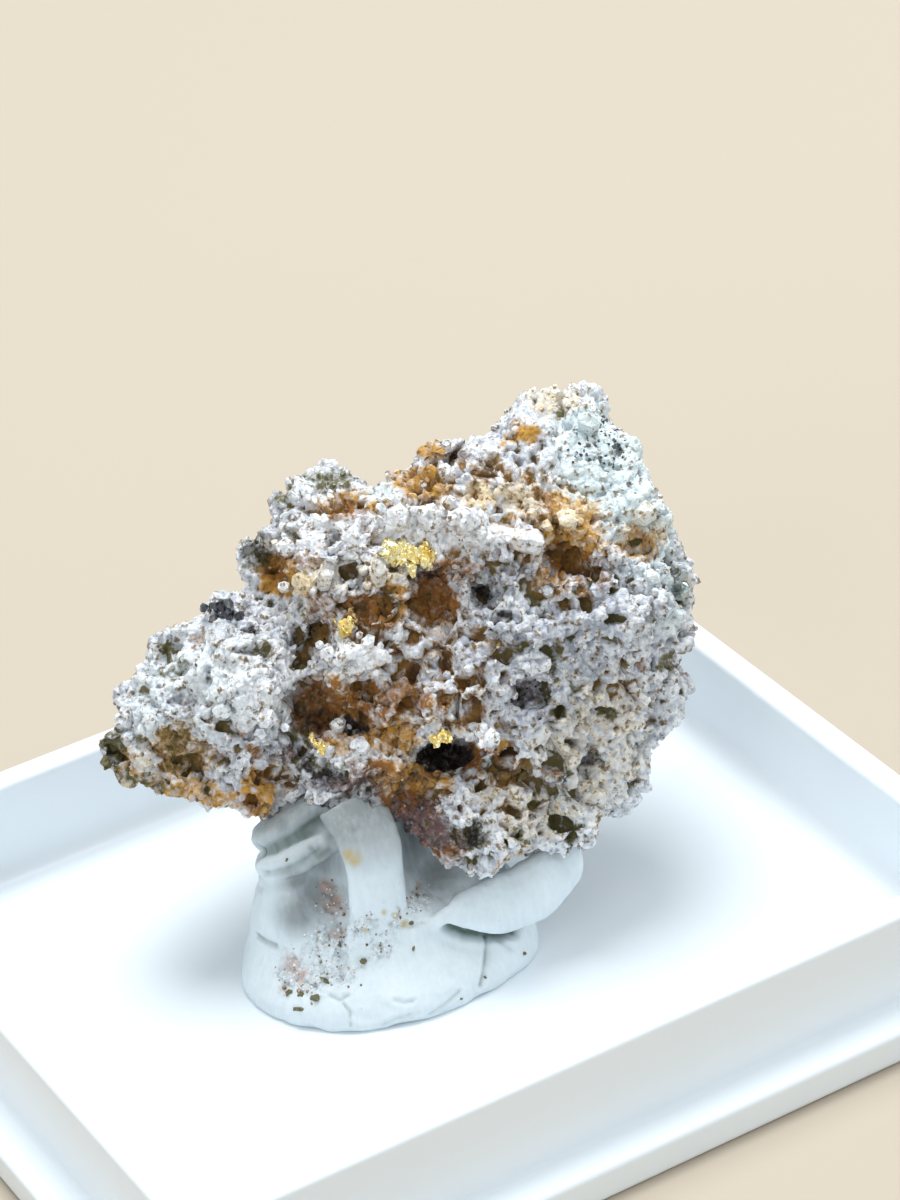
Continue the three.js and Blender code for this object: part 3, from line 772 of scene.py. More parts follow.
@dataclass(frozen=True)
class PhotoView:
    """The photograph's point of view: place in the row frame, angles in degrees, focus in pixels.

    Pixels are counted from the top left of the whole frame. The view heads from +Y towards +X, dips
    under the horizon and rolls clockwise.
    """

    place: Triple = (-62.42, -121.34, 101.59)
    heading: float = 28.288
    dip: float = 31.833
    roll: float = 5.542
    focus: float = 4200.0
    frame: Pair = (900.0, 1200.0)

    def axes(self) -> Array:
        """The view's rightward, upward and forward directions, one a row."""
        heading, dip, roll = (math.radians(angle) for angle in (self.heading, self.dip, self.roll))
        level = np.array([math.cos(heading), -math.sin(heading), 0.0])
        ahead = np.array([math.sin(heading), math.cos(heading), 0.0]) * math.cos(dip)
        ahead[2] = -math.sin(dip)
        right = level * math.cos(roll) - np.cross(level, ahead) * math.sin(roll)
        return np.stack([right, np.cross(right, ahead), ahead])

    def seen(self, points: Array, pixels: Array, behind: Any = 0.0) -> Array:
        """The places on a surface that show at pixels of the photograph.

        Formula: a pixel's line of sight runs forward plus the pixel's shares of right and up; the
        surface lies on it as far ahead as the point for which that distance, plus ten times the
        distance aside, is least.

        Args:
            points: the surface's points in the row frame.
            pixels: a column and a row of the frame in each row.
            behind: how far behind the surface the places are.

        Returns:
            One place for each pixel, in the row frame.
        """
        right, up, ahead = self.axes()
        share = (pixels - np.array(self.frame) / 2.0) / self.focus
        sight = unit(ahead + share[:, :1] * right - share[:, 1:] * up)
        offset = points - np.array(self.place)
        square = (offset ** 2).sum(-1)
        along = [offset @ line for line in sight]
        far = [a[(a + 10.0 * np.sqrt(np.maximum(square - a ** 2, 0.0))).argmin()] for a in along]
        return np.array(self.place) + sight * (np.array(far) + behind)[:, None]


@dataclass(frozen=True)
class Patch:
    """An ellipse on the show face: place, half sizes, an amount, and a turn in degrees."""

    x: float
    y: float
    half_x: float
    half_y: float
    amount: float
    turn: float = 0.0

    def share(self, points: Array) -> Array:
        """How far points lie from the middle, as a share of the half sizes."""
        angle = math.radians(self.turn)
        dx, dy = points[:, 0] - self.x, points[:, 1] - self.y
        along = (dx * math.cos(angle) + dy * math.sin(angle)) / self.half_x
        across = (dy * math.cos(angle) - dx * math.sin(angle)) / self.half_y
        return np.hypot(along, across)

    def fading(self, points: Array, full: float, gone: float) -> Array:
        """The amount, level up to one share of the half sizes and gone at another."""
        return self.amount * (1.0 - smooth(full, gone, self.share(points)))


def patches(*rows: tuple[float, ...]) -> tuple[Patch, ...]:
    """Patches from rows of their numbers."""
    return tuple(Patch(*row) for row in rows)


# The show face's edge, anticlockwise from the right.
OUTLINE = (
    (10.4, 0.0), (10.3, 1.2), (10.3, 3.2), (9.6, 4.7), (8.7, 6.7), (7.7, 8.3), (7.0, 9.7),
    (6.7, 10.6), (4.9, 10.5), (3.8, 10.2), (3.0, 9.3), (2.8, 8.8), (1.6, 8.3), (-0.1, 8.2),
    (-1.2, 7.3), (-2.0, 6.4), (-3.0, 6.8), (-4.3, 7.2), (-5.7, 6.7), (-6.6, 5.1), (-7.3, 4.2),
    (-7.3, 2.6), (-8.9, 2.0), (-9.9, 0.8), (-12.5, -2.0), (-13.1, -4.0), (-12.9, -4.8),
    (-11.7, -5.5), (-8.7, -5.9), (-7.0, -6.7), (-5.1, -6.6), (-3.0, -6.6), (-1.0, -7.4),
    (0.4, -8.3), (1.6, -9.5), (2.9, -9.2), (5.7, -8.2), (7.6, -6.9), (8.9, -5.6), (8.7, -4.2),
    (9.6, -3.2), (10.1, -1.6), (9.9, -0.6),
)

LUMPS = patches(
    (-4.2, 3.7, 3.0, 2.8, 1.2),  # mid lobe
    (-9.3, -1.8, 3.6, 2.6, 0.9, 40),  # nose back
    (0.2, 4.7, 3.0, 0.75, 1.0, -4),  # bright ledge
    (-3.1, -0.4, 1.3, 0.9, 1.0, 20),  # white chunk
    (-2.6, -4.0, 0.75, 0.8, 0.8),  # boulder
    (-6.5, -2.0, 1.3, 1.7, 0.9, -10),  # white lobe
    (-3.6, -5.9, 2.2, 0.7, 0.9),  # lower left rib
    (7.3, 6.6, 1.9, 2.8, 0.6, 20),  # top right mass
    (5.2, 5.0, 0.85, 0.65, 0.7),  # cream knob
    (6.8, 1.2, 2.6, 1.0, 0.7, 8),  # right shoulder
    (2.3, -3.4, 0.8, 0.8, 0.6),  # ring crystal
    (1.9, -7.6, 1.6, 1.0, 0.7, -20),  # lower tip
)

PITS = patches(
    (0.7, -4.3, 1.45, 0.85, 2.8, 8),  # dark vug
    (-4.5, -2.4, 1.2, 1.25, 2.0),  # ochre cave
    (-6.0, 3.0, 0.8, 1.0, 1.4, 25),  # amber cave
    (0.1, 2.0, 0.85, 1.2, 1.5),  # rust hollow
    (-2.4, 1.6, 1.0, 0.5, 1.0),  # rust shelf
    (2.2, 2.2, 0.8, 0.6, 1.4, -10),  # olive vug
    (3.6, 8.2, 0.8, 0.5, 0.9, 10),  # top recess
    (5.6, 3.6, 1.3, 0.8, 1.6, -15),  # orange hollow
    (-2.6, -1.5, 0.6, 0.5, 1.0),  # brown pit
    (-2.9, -2.9, 0.65, 0.45, 1.1),  # dark slot
    (4.0, -1.7, 0.7, 0.6, 1.1, 30),  # red pit
    (3.0, -3.9, 0.5, 0.6, 0.9),  # tan pit
    (6.3, -4.7, 0.7, 0.5, 0.9),  # right pit
    (-0.6, -5.6, 1.2, 0.7, 0.6),  # ochre net
    (1.4, -7.3, 0.5, 0.5, 0.8),  # tip pit
    (-9.4, -2.0, 0.8, 0.5, 0.8, 20),  # nose recess
    (-9.5, -4.0, 1.1, 1.2, 1.2, 15),  # nose vug
    (-4.3, -4.8, 1.1, 0.4, 0.9, -5),  # under groove
)

# Hollows too small for the solid.
SMALL_PITS = patches(
    (-7.1, 0.95, 0.35, 0.22, 0.6), (-9.25, 0.35, 0.35, 0.28, 0.4), (-9.96, -0.75, 0.5, 0.35, 0.5, 20),
    (-11.3, -1.7, 0.28, 0.2, 0.4), (-11.3, -3.7, 0.25, 0.25, 0.4), (-12.3, -4.2, 0.45, 0.7, 0.6),
    (-10.9, -5.0, 0.5, 0.4, 0.5), (-7.2, -3.3, 0.32, 0.28, 0.5), (-6.7, -4.0, 0.32, 0.28, 0.5),
    (-7.0, -5.9, 0.35, 0.35, 0.5), (-6.65, 3.65, 0.5, 0.4, 0.6), (-5.45, 4.47, 0.28, 0.18, 0.4),
    (-3.5, 5.5, 0.55, 0.4, 0.5), (-2.3, 5.6, 1.1, 0.3, 0.5, -15), (0.5, -1.9, 0.3, 0.45, 0.6),
    (1.66, -2.5, 0.2, 0.55, 0.5), (2.75, 1.35, 0.35, 0.18, 0.5), (8.2, -0.63, 0.35, 0.28, 0.5),
    (9.5, -0.6, 0.35, 0.35, 0.5), (8.8, -2.8, 0.38, 0.25, 0.5), (5.1, -2.4, 0.42, 0.28, 0.5),
    (6.8, -2.6, 0.35, 0.3, 0.5), (4.9, -4.6, 0.45, 0.22, 0.5), (4.4, -5.4, 0.8, 0.22, 0.4, 5),
    (5.1, -7.0, 0.26, 0.22, 0.5), (3.5, -7.1, 0.26, 0.42, 0.5), (5.1, 0.0, 0.3, 0.25, 0.5),
    (3.56, 0.2, 0.25, 0.3, 0.5), (-4.35, 0.6, 0.35, 0.7, 0.7), (8.1, 4.1, 0.9, 0.4, 0.5),
    (-0.2, 6.6, 0.5, 0.3, 0.5, 20), (1.1, 7.7, 0.45, 0.3, 0.5),
)

STAINS = {
    Stain.OCHRE: patches(
        (-5.95, 2.9, 1.0, 1.0, 1.0, 25), (3.64, 8.3, 0.8, 0.5, 0.9, 10), (5.3, 4.7, 1.7, 1.8, 0.62),
        (2.96, -3.85, 0.4, 0.5, 0.9), (-0.8, -5.1, 1.6, 0.9, 0.95), (-6.7, -5.6, 0.8, 1.1, 0.8, -8),
        (0.0, 7.85, 0.75, 0.45, 0.9), (-0.6, 6.5, 1.5, 0.75, 0.72), (-2.3, 5.6, 1.5, 0.5, 0.8, -15),
        (-1.5, 7.1, 0.5, 0.4, 0.7), (2.96, 5.18, 0.3, 0.2, 0.95), (8.1, 4.1, 1.2, 0.65, 0.6),
        (-9.6, -4.0, 1.1, 1.2, 0.6), (-12.3, -4.6, 0.8, 0.8, 0.7), (-1.2, 2.3, 0.5, 0.5, 0.7),
        (3.2, -8.2, 1.0, 0.4, 0.5, 20), (-3.8, -1.6, 0.9, 0.7, 0.6), (6.3, 5.4, 1.0, 0.6, 0.45),
        (-1.6, -3.3, 1.4, 0.9, 0.75), (-9.6, -5.5, 3.4, 0.5, 0.7, -8), (-3.4, -3.6, 0.9, 0.5, 0.6),
    ),
    Stain.RUST: patches(
        (0.1, 2.1, 1.0, 1.35, 1.0), (-2.3, 1.5, 1.5, 0.65, 0.95), (-4.45, -2.4, 1.2, 1.25, 0.95),
        (5.1, 3.5, 0.9, 0.65, 0.95), (-2.57, -1.3, 0.6, 0.5, 0.95), (0.5, -1.9, 0.38, 0.5, 0.8),
        (1.66, -2.5, 0.24, 0.65, 0.85), (1.45, -4.1, 0.5, 0.45, 0.85), (-9.25, 0.35, 0.4, 0.32, 0.7),
        (-7.2, -3.25, 0.38, 0.3, 0.75), (-6.7, -4.0, 0.4, 0.3, 0.75), (-7.0, -6.0, 0.45, 0.4, 0.8),
        (-3.5, 5.5, 0.7, 0.45, 0.65), (8.2, -0.63, 0.4, 0.32, 0.65), (4.9, -4.6, 0.5, 0.25, 0.65),
        (8.8, -2.8, 0.42, 0.28, 0.6), (-2.9, -5.1, 1.1, 0.3, 0.6), (-5.4, -4.2, 0.55, 0.6, 0.55),
        (-0.8, -6.2, 1.7, 0.8, 0.85, -30), (0.3, -7.4, 1.7, 0.9, 0.8, -40), (5.9, 2.6, 0.7, 0.4, 0.6),
        (-0.4, -5.0, 1.0, 0.4, 0.6), (4.4, 5.9, 0.5, 0.4, 0.5), (3.9, 4.3, 0.3, 0.6, 0.5),
        (-6.2, 3.3, 0.9, 0.5, 0.85), (-4.8, 3.3, 0.7, 0.4, 0.6), (-3.2, -2.2, 1.4, 0.8, 0.85, -10),
        (-1.2, -1.9, 1.3, 0.8, 0.7), (1.9, -4.2, 1.0, 0.8, 0.95), (-2.2, -4.7, 1.2, 0.4, 0.7, -10),
        (-3.0, 5.4, 0.9, 0.5, 0.7, -15), (-4.2, 1.3, 0.8, 1.0, 0.5), (0.9, 3.1, 1.2, 0.5, 0.6),
    ),
    # Near-black in the pits: partly dark staining, partly painted shade.
    Stain.DARK: patches(
        (0.45, -4.2, 1.1, 0.65, 1.15, 8), (-6.9, 3.9, 0.35, 0.4, 0.45), (-4.4, -2.9, 0.7, 0.5, 0.5),
        (-2.88, -2.96, 0.6, 0.4, 0.8), (6.4, -4.4, 0.5, 0.35, 0.65), (2.15, 2.25, 0.6, 0.42, 0.75, -10),
        (2.7, 1.35, 0.4, 0.2, 0.75), (-7.1, 0.95, 0.35, 0.22, 1.0), (-4.3, -4.75, 1.0, 0.22, 0.75, -5),
        (1.75, -7.3, 0.4, 0.45, 0.7), (-0.05, 3.0, 0.8, 0.3, 0.6), (-5.9, 3.7, 0.8, 0.2, 0.45, -10),
        (-6.8, 4.4, 0.4, 0.4, 0.4), (0.4, 7.6, 0.5, 0.3, 0.4),
    ),
    # Olive, mostly in small pits and vugs: partly staining, partly painted shade.
    Stain.OLIVE: patches(
        (-9.96, -0.75, 0.6, 0.42, 0.75, 20), (-11.3, -1.66, 0.3, 0.2, 0.8),
        (-9.5, -3.9, 0.9, 1.1, 0.42, 15), (-11.3, -3.7, 0.28, 0.25, 0.7), (-12.6, -4.0, 0.6, 1.1, 0.7),
        (-10.9, -5.3, 1.4, 0.4, 0.6, -8), (5.1, 0.0, 0.35, 0.3, 0.75), (3.56, 0.2, 0.3, 0.35, 0.65),
        (1.7, -7.2, 0.55, 0.6, 0.7), (9.5, -0.6, 0.42, 0.4, 0.85), (5.1, -2.4, 0.5, 0.3, 0.75),
        (6.8, -2.57, 0.4, 0.35, 0.75), (5.1, -7.0, 0.32, 0.26, 0.75), (3.5, -7.1, 0.3, 0.5, 0.65),
        (-4.15, 6.7, 1.3, 0.32, 0.6), (-5.9, 6.2, 0.5, 0.5, 0.65), (-6.9, 4.0, 0.6, 0.9, 0.6),
        (-5.45, 4.47, 0.32, 0.2, 0.85), (-4.5, -4.6, 1.2, 0.35, 0.55), (7.6, 8.0, 0.4, 0.3, 0.5),
    ),
    Stain.CREAM: patches(
        (2.1, 6.1, 0.9, 0.5, 0.85), (5.2, 5.0, 1.4, 1.3, 0.7), (6.4, -3.8, 2.6, 3.2, 0.38),
        (5.0, 9.9, 1.2, 0.8, 0.55), (8.4, 4.6, 1.2, 0.8, 0.5), (-1.6, 2.9, 1.4, 0.8, 0.4),
        (4.2, -6.6, 2.0, 1.2, 0.42), (-3.6, 3.0, 1.2, 0.8, 0.35), (3.6, 5.9, 1.6, 0.7, 0.5),
        (-4.9, 2.4, 0.5, 0.5, 0.7), (-10.4, -4.4, 1.8, 1.2, 0.4), (2.6, -5.6, 1.2, 0.8, 0.4),
    ),
    Stain.PURPLE: patches(
        (-4.35, 0.6, 0.5, 0.85, 0.95), (3.95, -1.66, 0.8, 0.6, 0.7, 20), (-9.45, -2.0, 0.8, 0.5, 0.55, 20),
        (4.4, -5.4, 1.0, 0.3, 0.55, 5), (-0.1, -6.9, 1.8, 1.0, 0.72, -30), (-3.2, -5.3, 1.8, 0.6, 0.6),
        (1.05, 7.75, 0.6, 0.4, 0.6), (-5.5, -4.1, 0.6, 0.6, 0.5), (3.0, 3.0, 0.9, 0.6, 0.35),
        (6.6, 3.0, 1.0, 0.5, 0.35), (4.7, -2.6, 0.7, 0.5, 0.4), (-5.4, 5.0, 0.6, 0.5, 0.3),
    ),
    Stain.CYAN: patches(
        (6.9, 7.2, 2.2, 3.0, 1.0, 20), (8.8, 4.6, 1.2, 2.2, 0.7), (9.6, 2.2, 0.8, 1.6, 0.6),
        (-1.9, 6.1, 1.0, 0.5, 0.7), (-9.6, -1.6, 3.2, 2.4, 0.3, 40),
    ),
    Stain.WARM: patches(
        (-1.2, -1.0, 4.6, 4.4, 0.9), (0.6, 5.4, 5.0, 2.6, 0.9, 15), (-5.6, 3.4, 1.8, 1.6, 0.9),
        (5.4, 3.6, 2.2, 2.2, 1.0), (-9.4, -3.6, 1.8, 1.6, 0.7), (2.0, -5.0, 3.0, 2.6, 0.6),
        (-12.4, -4.2, 0.9, 1.4, 0.6), (7.6, -1.4, 1.8, 1.4, 0.45), (-6.6, -5.4, 1.4, 1.4, 0.8),
        (-3.2, 5.4, 2.0, 1.2, 0.8, -15),
    ),
    Stain.CLEAN: patches(
        (0.2, 4.75, 3.2, 0.8, 1.0, -3), (-1.9, 6.1, 0.9, 0.42, 1.0), (-3.0, -0.5, 1.3, 0.85, 0.95, 20),
        (-2.7, -4.0, 0.4, 0.5, 0.8), (-6.5, -2.0, 1.25, 1.6, 0.85, -10), (6.8, 7.4, 2.0, 2.8, 0.7, 20),
        (3.7, 4.3, 0.9, 0.4, 0.9), (-2.0, 2.9, 0.35, 0.8, 1.0), (2.3, -3.4, 0.5, 0.5, 0.6),
        (-8.6, -0.6, 1.8, 1.6, 0.5), (5.2, 5.0, 0.6, 0.5, 0.6), (-4.4, 3.9, 2.2, 1.6, 0.35),
        (-3.5, -5.8, 1.4, 0.5, 0.5), (-3.6, -3.1, 0.25, 0.5, 0.9),
    ),
}

# Painted shade: patches where the quartz is painted darker, towards lilac grey, as less light falls on
# those faces.
PAINTED_SHADE = patches(
    (5.2, 0.0, 4.6, 3.4, 1.0, 10), (0.5, -0.4, 2.8, 2.2, 0.7), (3.5, -4.5, 4.2, 3.0, 0.7),
    (-3.8, -5.6, 2.2, 1.2, 0.7), (-10.4, -3.2, 2.6, 2.4, 0.45, 20),
)

# Where the tiny dark crystals are thick.
SPECKLED = patches(
    (6.6, 8.0, 1.3, 1.2, 1.0, 20), (7.3, 9.0, 0.6, 0.5, 1.0), (9.4, 3.0, 0.5, 0.8, 0.9),
    (-4.35, 0.6, 0.5, 0.8, 1.0), (4.0, -1.6, 0.7, 0.5, 0.4), (-10.0, -1.0, 1.6, 1.4, 0.1),
)


@dataclass
class MatrixForm:
    """The matrix's formulas: a pillow inside an outline, with named relief and grains."""

    frame: SpecimenFrame
    inset: float = 0.12
    front: float = 4.3
    nose_front: float = 2.6
    back: float = 7.4
    nose_back: float = 3.6
    nose_start: float = -4.5
    nose_end: float = -12.0
    roundness: float = 0.8
    limb_slope: float = 0.15
    crest_lift: float = 0.3
    crest_span: float = 6.0
    ridge_start: float = 0.4
    ridge_height: float = 3.3
    upper_fall: float = 0.3
    nose_face_slope: float = 0.32
    nose_middle: float = -2.4
    right_recess: float = 0.36
    right_recess_start: float = 3.5
    underside: float = 5.0
    underside_blend: float = 1.2
    block_size: float = 6.0
    block_relief: float = 1.5
    lump_size: float = 2.3
    lump_relief: float = 0.6
    knob_size: float = 1.15
    knob_relief: float = 0.6
    valley_depth: float = 1.7
    valley_width: float = 0.9
    valley: tuple[Pair, ...] = ((-6.4, 1.8), (-5.2, 0.2), (-5.2, -3.4), (-5.6, -5.6))
    cells: int = 150
    rings: int = 60
    disc_share: float = 0.9
    druse_allowance: float = 0.1

    def outline_radius(self, angle: Array) -> Array:
        """The outline's distance from the middle, straight in angle between its points."""
        points = np.array(OUTLINE)
        angles = np.arctan2(points[:, 1], points[:, 0])
        return np.interp(angle, angles, np.hypot(points[:, 0], points[:, 1]), period=2.0 * math.pi)

    def directions(self) -> tuple[Array, Array]:
        """A closed net over the ball: a disc in front, a band of rings round the rim, a disc behind.

        Formula: a disc's square grid of a and b gives the radius as the larger of the two, and the
        angle as an eighth of a turn times the smaller over the larger; the rings step in latitude.

        Returns:
            Unit directions, and quads of their indexes, outward.
        """
        n = self.cells
        a, b = np.meshgrid(np.linspace(-1.0, 1.0, n + 1), np.linspace(-1.0, 1.0, n + 1), indexing="ij")
        flat = np.abs(a) >= np.abs(b)
        big = np.where(flat, a, b)
        small = np.where(flat, b, a)
        ratio = np.divide(small, big, out=np.zeros_like(a), where=np.abs(big) > 1e-9)
        eighths = np.where(flat, ratio, 2.0 - ratio) + np.where(big < 0.0, 4.0, 0.0)
        angle = eighths * math.pi / 4.0
        side = (self.disc_share * np.abs(big)) ** (1.0 / self.roundness)
        depth = np.sqrt(1.0 - side ** 2)
        disc = np.stack([side * np.cos(angle), side * np.sin(angle), depth], -1).reshape(-1, 3)
        behind = disc * [1.0, 1.0, -1.0]
        ids = np.arange((n + 1) ** 2).reshape(n + 1, n + 1)
        rim = np.concatenate([ids[n, :-1], ids[:0:-1, n], ids[0, :0:-1], ids[:-1, 0]])
        top = math.asin(disc[rim[0], 2])
        latitude = top * (1.0 - 2.0 * np.arange(1, self.rings) / self.rings)
        turn = np.arctan2(disc[rim, 1], disc[rim, 0])
        ring = np.stack([
            np.cos(latitude)[:, None] * np.cos(turn),
            np.cos(latitude)[:, None] * np.sin(turn),
            np.sin(latitude)[:, None] * np.ones_like(turn),
        ], -1).reshape(-1, 3)
        start = 2 * len(disc)
        rows = np.arange(len(ring)).reshape(self.rings - 1, len(rim)) + start
        rows = np.concatenate([rim[None], rows, (rim + len(disc))[None]])
        after = np.roll(rows, -1, axis=1)
        band = np.stack([rows[:-1], rows[1:], after[1:], after[:-1]], -1).reshape(-1, 4)
        face = np.stack([ids[:-1, :-1], ids[1:, :-1], ids[1:, 1:], ids[:-1, 1:]], -1).reshape(-1, 4)
        quads = np.concatenate([face, face[:, ::-1] + len(disc), band])
        return np.concatenate([disc, behind, ring]), quads

    def body(self, direction: Array) -> Array:
        """The smooth body in each direction.

        Formula: the outline's radius times the direction's sideways part to the power roundness; the
        bulge is the reach in front or behind times its depth to the same power, less the limb's
        slope, the right side's recess and the falls of the upper face and of the nose; what would
        come under the underside's height is lifted to it by half the sum of the gap and the square
        root of the gap squared plus the blend squared.
        """
        side = np.hypot(direction[:, 0], direction[:, 1])
        radius = self.outline_radius(np.arctan2(direction[:, 1], direction[:, 0])) - self.inset
        spread = radius * side ** self.roundness / np.maximum(side, 1e-9)
        x, y, z = spread * direction[:, 0], spread * direction[:, 1], direction[:, 2]
        nose = smooth(-self.nose_start, -self.nose_end, -x)
        front = self.front + (self.nose_front - self.front) * nose
        back = self.back + (self.nose_back - self.back) * nose
        lift = np.where(z > 0.0, 1.0 + self.crest_lift * np.clip(y / self.crest_span, -1.0, 1.2), 1.0)
        bulge = np.where(z > 0.0, front, back) * lift * np.sign(z) * np.abs(z) ** self.roundness
        recess = self.right_recess * np.maximum(0.0, x - self.right_recess_start) * smooth(2.0, -5.0, y)
        ridge = self.ridge_start + (self.ridge_height - self.ridge_start) * smooth(-7.0, -1.0, x)
        facing = smooth(-0.6, 0.2, z)
        fall = facing * (1.0 - nose) * self.upper_fall * np.maximum(0.0, y - ridge)
        nose_fall = facing * nose * self.nose_face_slope * (y - self.nose_middle)
        points = np.stack([x, y, bulge - self.limb_slope * y - recess - fall - nose_fall], -1)
        up = self.frame.up()
        over = self.frame.place[2] + points @ up - self.underside
        return points + ((np.hypot(over, self.underside_blend) - over) / 2.0)[:, None] * up

    def relief(self, points: Array, normals: Array) -> Array:
        """How far the surface stands out of the body.

        Formula: on the show face, the lumps' heights fading as the square of their share, less the
        pits' depths and the valley's; blocks behind; two sizes of grains all round.
        """
        facing = smooth(0.05, 0.55, normals[:, 2])
        named = -self.valley_depth * np.exp(
            -(segment_distance(points[:, :2], self.valley) / self.valley_width) ** 2)
        for lump in LUMPS:
            named += lump.amount * np.exp(-1.2 * lump.share(points) ** 2)
        for pit in PITS:
            named -= pit.fading(points, 0.55, 1.2)
        behind = smooth(-0.1, -0.6, normals[:, 2])
        blocks = behind * self.block_relief * grains(points, self.block_size, 91).height
        fine = self.lump_relief * grains(points, self.lump_size, 11).height
        return facing * named + blocks + fine + self.knob_relief * grains(points, self.knob_size, 31).height


@dataclass
class Skin:
    """The matrix's surface with all that the crystals on it need to know."""

    points: Array
    faces: Array
    normals: Array
    masks: dict[str, Array]

    def pick(self, count: int, weight: Array, random: np.random.Generator) -> tuple[Array, Array]:
        """Chooses places on the surface at random.

        Args:
            count: how many.
            weight: how likely each vertex's neighbourhood is.
            random: the source of chance.

        Returns:
            Places, and the index of the vertex nearest to each.
        """
        area = np.linalg.norm(face_products(self.points, self.faces), axis=1)
        chance = area * weight[self.faces].mean(1)
        owner = random.choice(len(self.faces), count, p=chance / chance.sum())
        share = random.dirichlet(np.ones(self.faces.shape[1]), count)
        places = (self.points[self.faces[owner]] * share[..., None]).sum(1)
        return places, self.faces[owner, share.argmax(1)]

    def front_point(self, x: float, y: float) -> Array:
        """The front's point nearest to a place on the show face."""
        distance = np.hypot(self.points[:, 0] - x, self.points[:, 1] - y) - 0.15 * self.points[:, 2]
        z = self.points[distance.argmin(), 2]
        return np.array([x, y, z])


@dataclass
class Crystals:
    """Crystal points as arrays, one row each: root, direction, radius and length."""

    root: Array
    direction: Array
    radius: Array
    length: Array
    masks: dict[str, Array]

    def surface(self, random: np.random.Generator, sides: int = 6, uneven: float = 0.16,
                slant: float = 0.3, foot: float = 0.45) -> Surface:
        """Builds the prisms with pointed ends, each a little uneven.

        Formula: a foot ring behind the root, a shoulder ring whose height is a mean plus a slant
        times the cosine round it, and an apex off the axis; radii vary by the uneven share.

        Args:
            random: the source of chance.
            sides: faces round each.
            uneven: how much radii vary.
            slant: how much the shoulders tilt and the apex leans.
            foot: how far the foot lies behind the root, as a share of the length.

        Returns:
            One surface that holds them all.
        """
        count = len(self.root)
        first, second = frame_round(self.direction)
        angle = 2.0 * math.pi * (np.arange(sides) / sides + random.random((count, 1)))
        angle = angle + 0.35 * (random.random((count, sides)) - 0.5)
        spread = self.radius[:, None] * (1.0 + uneven * random.uniform(-1.0, 1.0, (count, sides)))
        lean = random.random((count, 1)) * 2.0 * math.pi
        tilt = slant * random.random((count, 1))
        rise = self.length[:, None] * (0.45 + 0.2 * random.random((count, 1)) + tilt * np.cos(angle - lean))
        round_foot = 0.85 * spread
        aside = 0.9 * tilt[:, 0] * self.radius

        def place(spread_out: Array, height: Array) -> Array:
            """Ring points at a distance and a height along the axis."""
            flat = first[:, None] * (spread_out * np.cos(angle))[..., None]
            flat = flat + second[:, None] * (spread_out * np.sin(angle))[..., None]
            return self.root[:, None] + flat + self.direction[:, None] * height[..., None]

        low = place(round_foot, np.repeat(-foot * self.length[:, None], sides, 1))
        high = place(spread, rise)
        apex = self.root + self.direction * self.length[:, None]
        apex = apex + first * (aside * np.cos(lean[:, 0]))[:, None]
        apex = apex + second * (aside * np.sin(lean[:, 0]))[:, None]
        points = np.concatenate([low, high, apex[:, None]], 1)
        each = 2 * sides + 1
        j = np.arange(sides)
        k = (j + 1) % sides
        start = (np.arange(count) * each)[:, None, None]
        walls = (np.stack([j, k, k + sides, j + sides], -1)[None] + start).reshape(-1, 4)
        tip = np.stack([j + sides, k + sides, np.full(sides, 2 * sides)], -1)
        tips = (tip[None] + start).reshape(-1, 3)
        feet = (j[::-1][None] + start[:, 0]).reshape(-1, sides)
        masks = {name: np.repeat(values, each) for name, values in self.masks.items()}
        share = np.concatenate([np.zeros(sides), np.full(sides, 0.6), [1.0]])
        masks["rise"] = np.tile(share, count)
        return Surface(points.reshape(-1, 3), [walls, tips, feet], masks)


@dataclass(frozen=True)
class Druse:
    """One layer of quartz grains: how many, how large, how far they lean, and their seed."""

    name: str
    count: int
    radius: float
    spread: float
    stretch: float
    lean: float
    seed: int


@dataclass(frozen=True)
class Point:
    """One quartz point that stands out, by its place on the show face."""

    x: float
    y: float
    radius: float
    length: float
    lean_x: float
    lean_y: float


POINTS = tuple(Point(*row) for row in (
    (3.6, 4.2, 0.55, 1.9, 1.2, -0.1), (-2.0, 2.9, 0.35, 1.5, 0.1, 0.9),
    (-4.9, 2.5, 0.4, 1.3, -0.5, 0.8), (-4.1, 2.7, 0.35, 1.2, 0.2, 0.9),
    (-3.6, -3.1, 0.25, 1.2, 0.3, 0.9), (-2.7, -3.8, 0.4, 0.9, -0.2, 0.5),
    (2.3, -3.4, 0.35, 0.8, 0.3, 0.2), (-1.2, 5.0, 0.5, 1.3, -0.4, 0.5), (1.4, 4.9, 0.5, 1.3, 0.3, 0.4),
    (-6.4, -2.6, 0.4, 0.9, 0.4, -0.3), (6.2, 8.8, 0.5, 1.4, 0.1, 0.8), (8.2, 5.2, 0.5, 1.3, 0.7, 0.3),
    (-1.9, -0.3, 0.32, 0.9, 0.5, 0.7), (-2.4, 0.2, 0.28, 0.8, 0.1, 0.9),
    (-3.9, -0.2, 0.34, 0.8, -0.4, 0.4), (-5.5, 3.9, 0.4, 0.9, -0.3, 0.3),
    (2.9, 4.4, 0.4, 1.1, 0.7, 0.2), (5.3, 5.1, 0.42, 0.8, 0.1, 0.2), (6.4, 2.2, 0.3, 0.8, 0.3, 0.5),
    (4.6, 2.2, 0.28, 0.8, -0.3, 0.6), (8.6, 2.8, 0.35, 0.8, 0.5, 0.4),
    (-8.0, -2.4, 0.4, 0.9, -0.2, 0.4), (-10.8, -2.8, 0.35, 0.7, -0.5, 0.2),
    (0.6, 6.9, 0.35, 0.8, -0.2, 0.8),
))


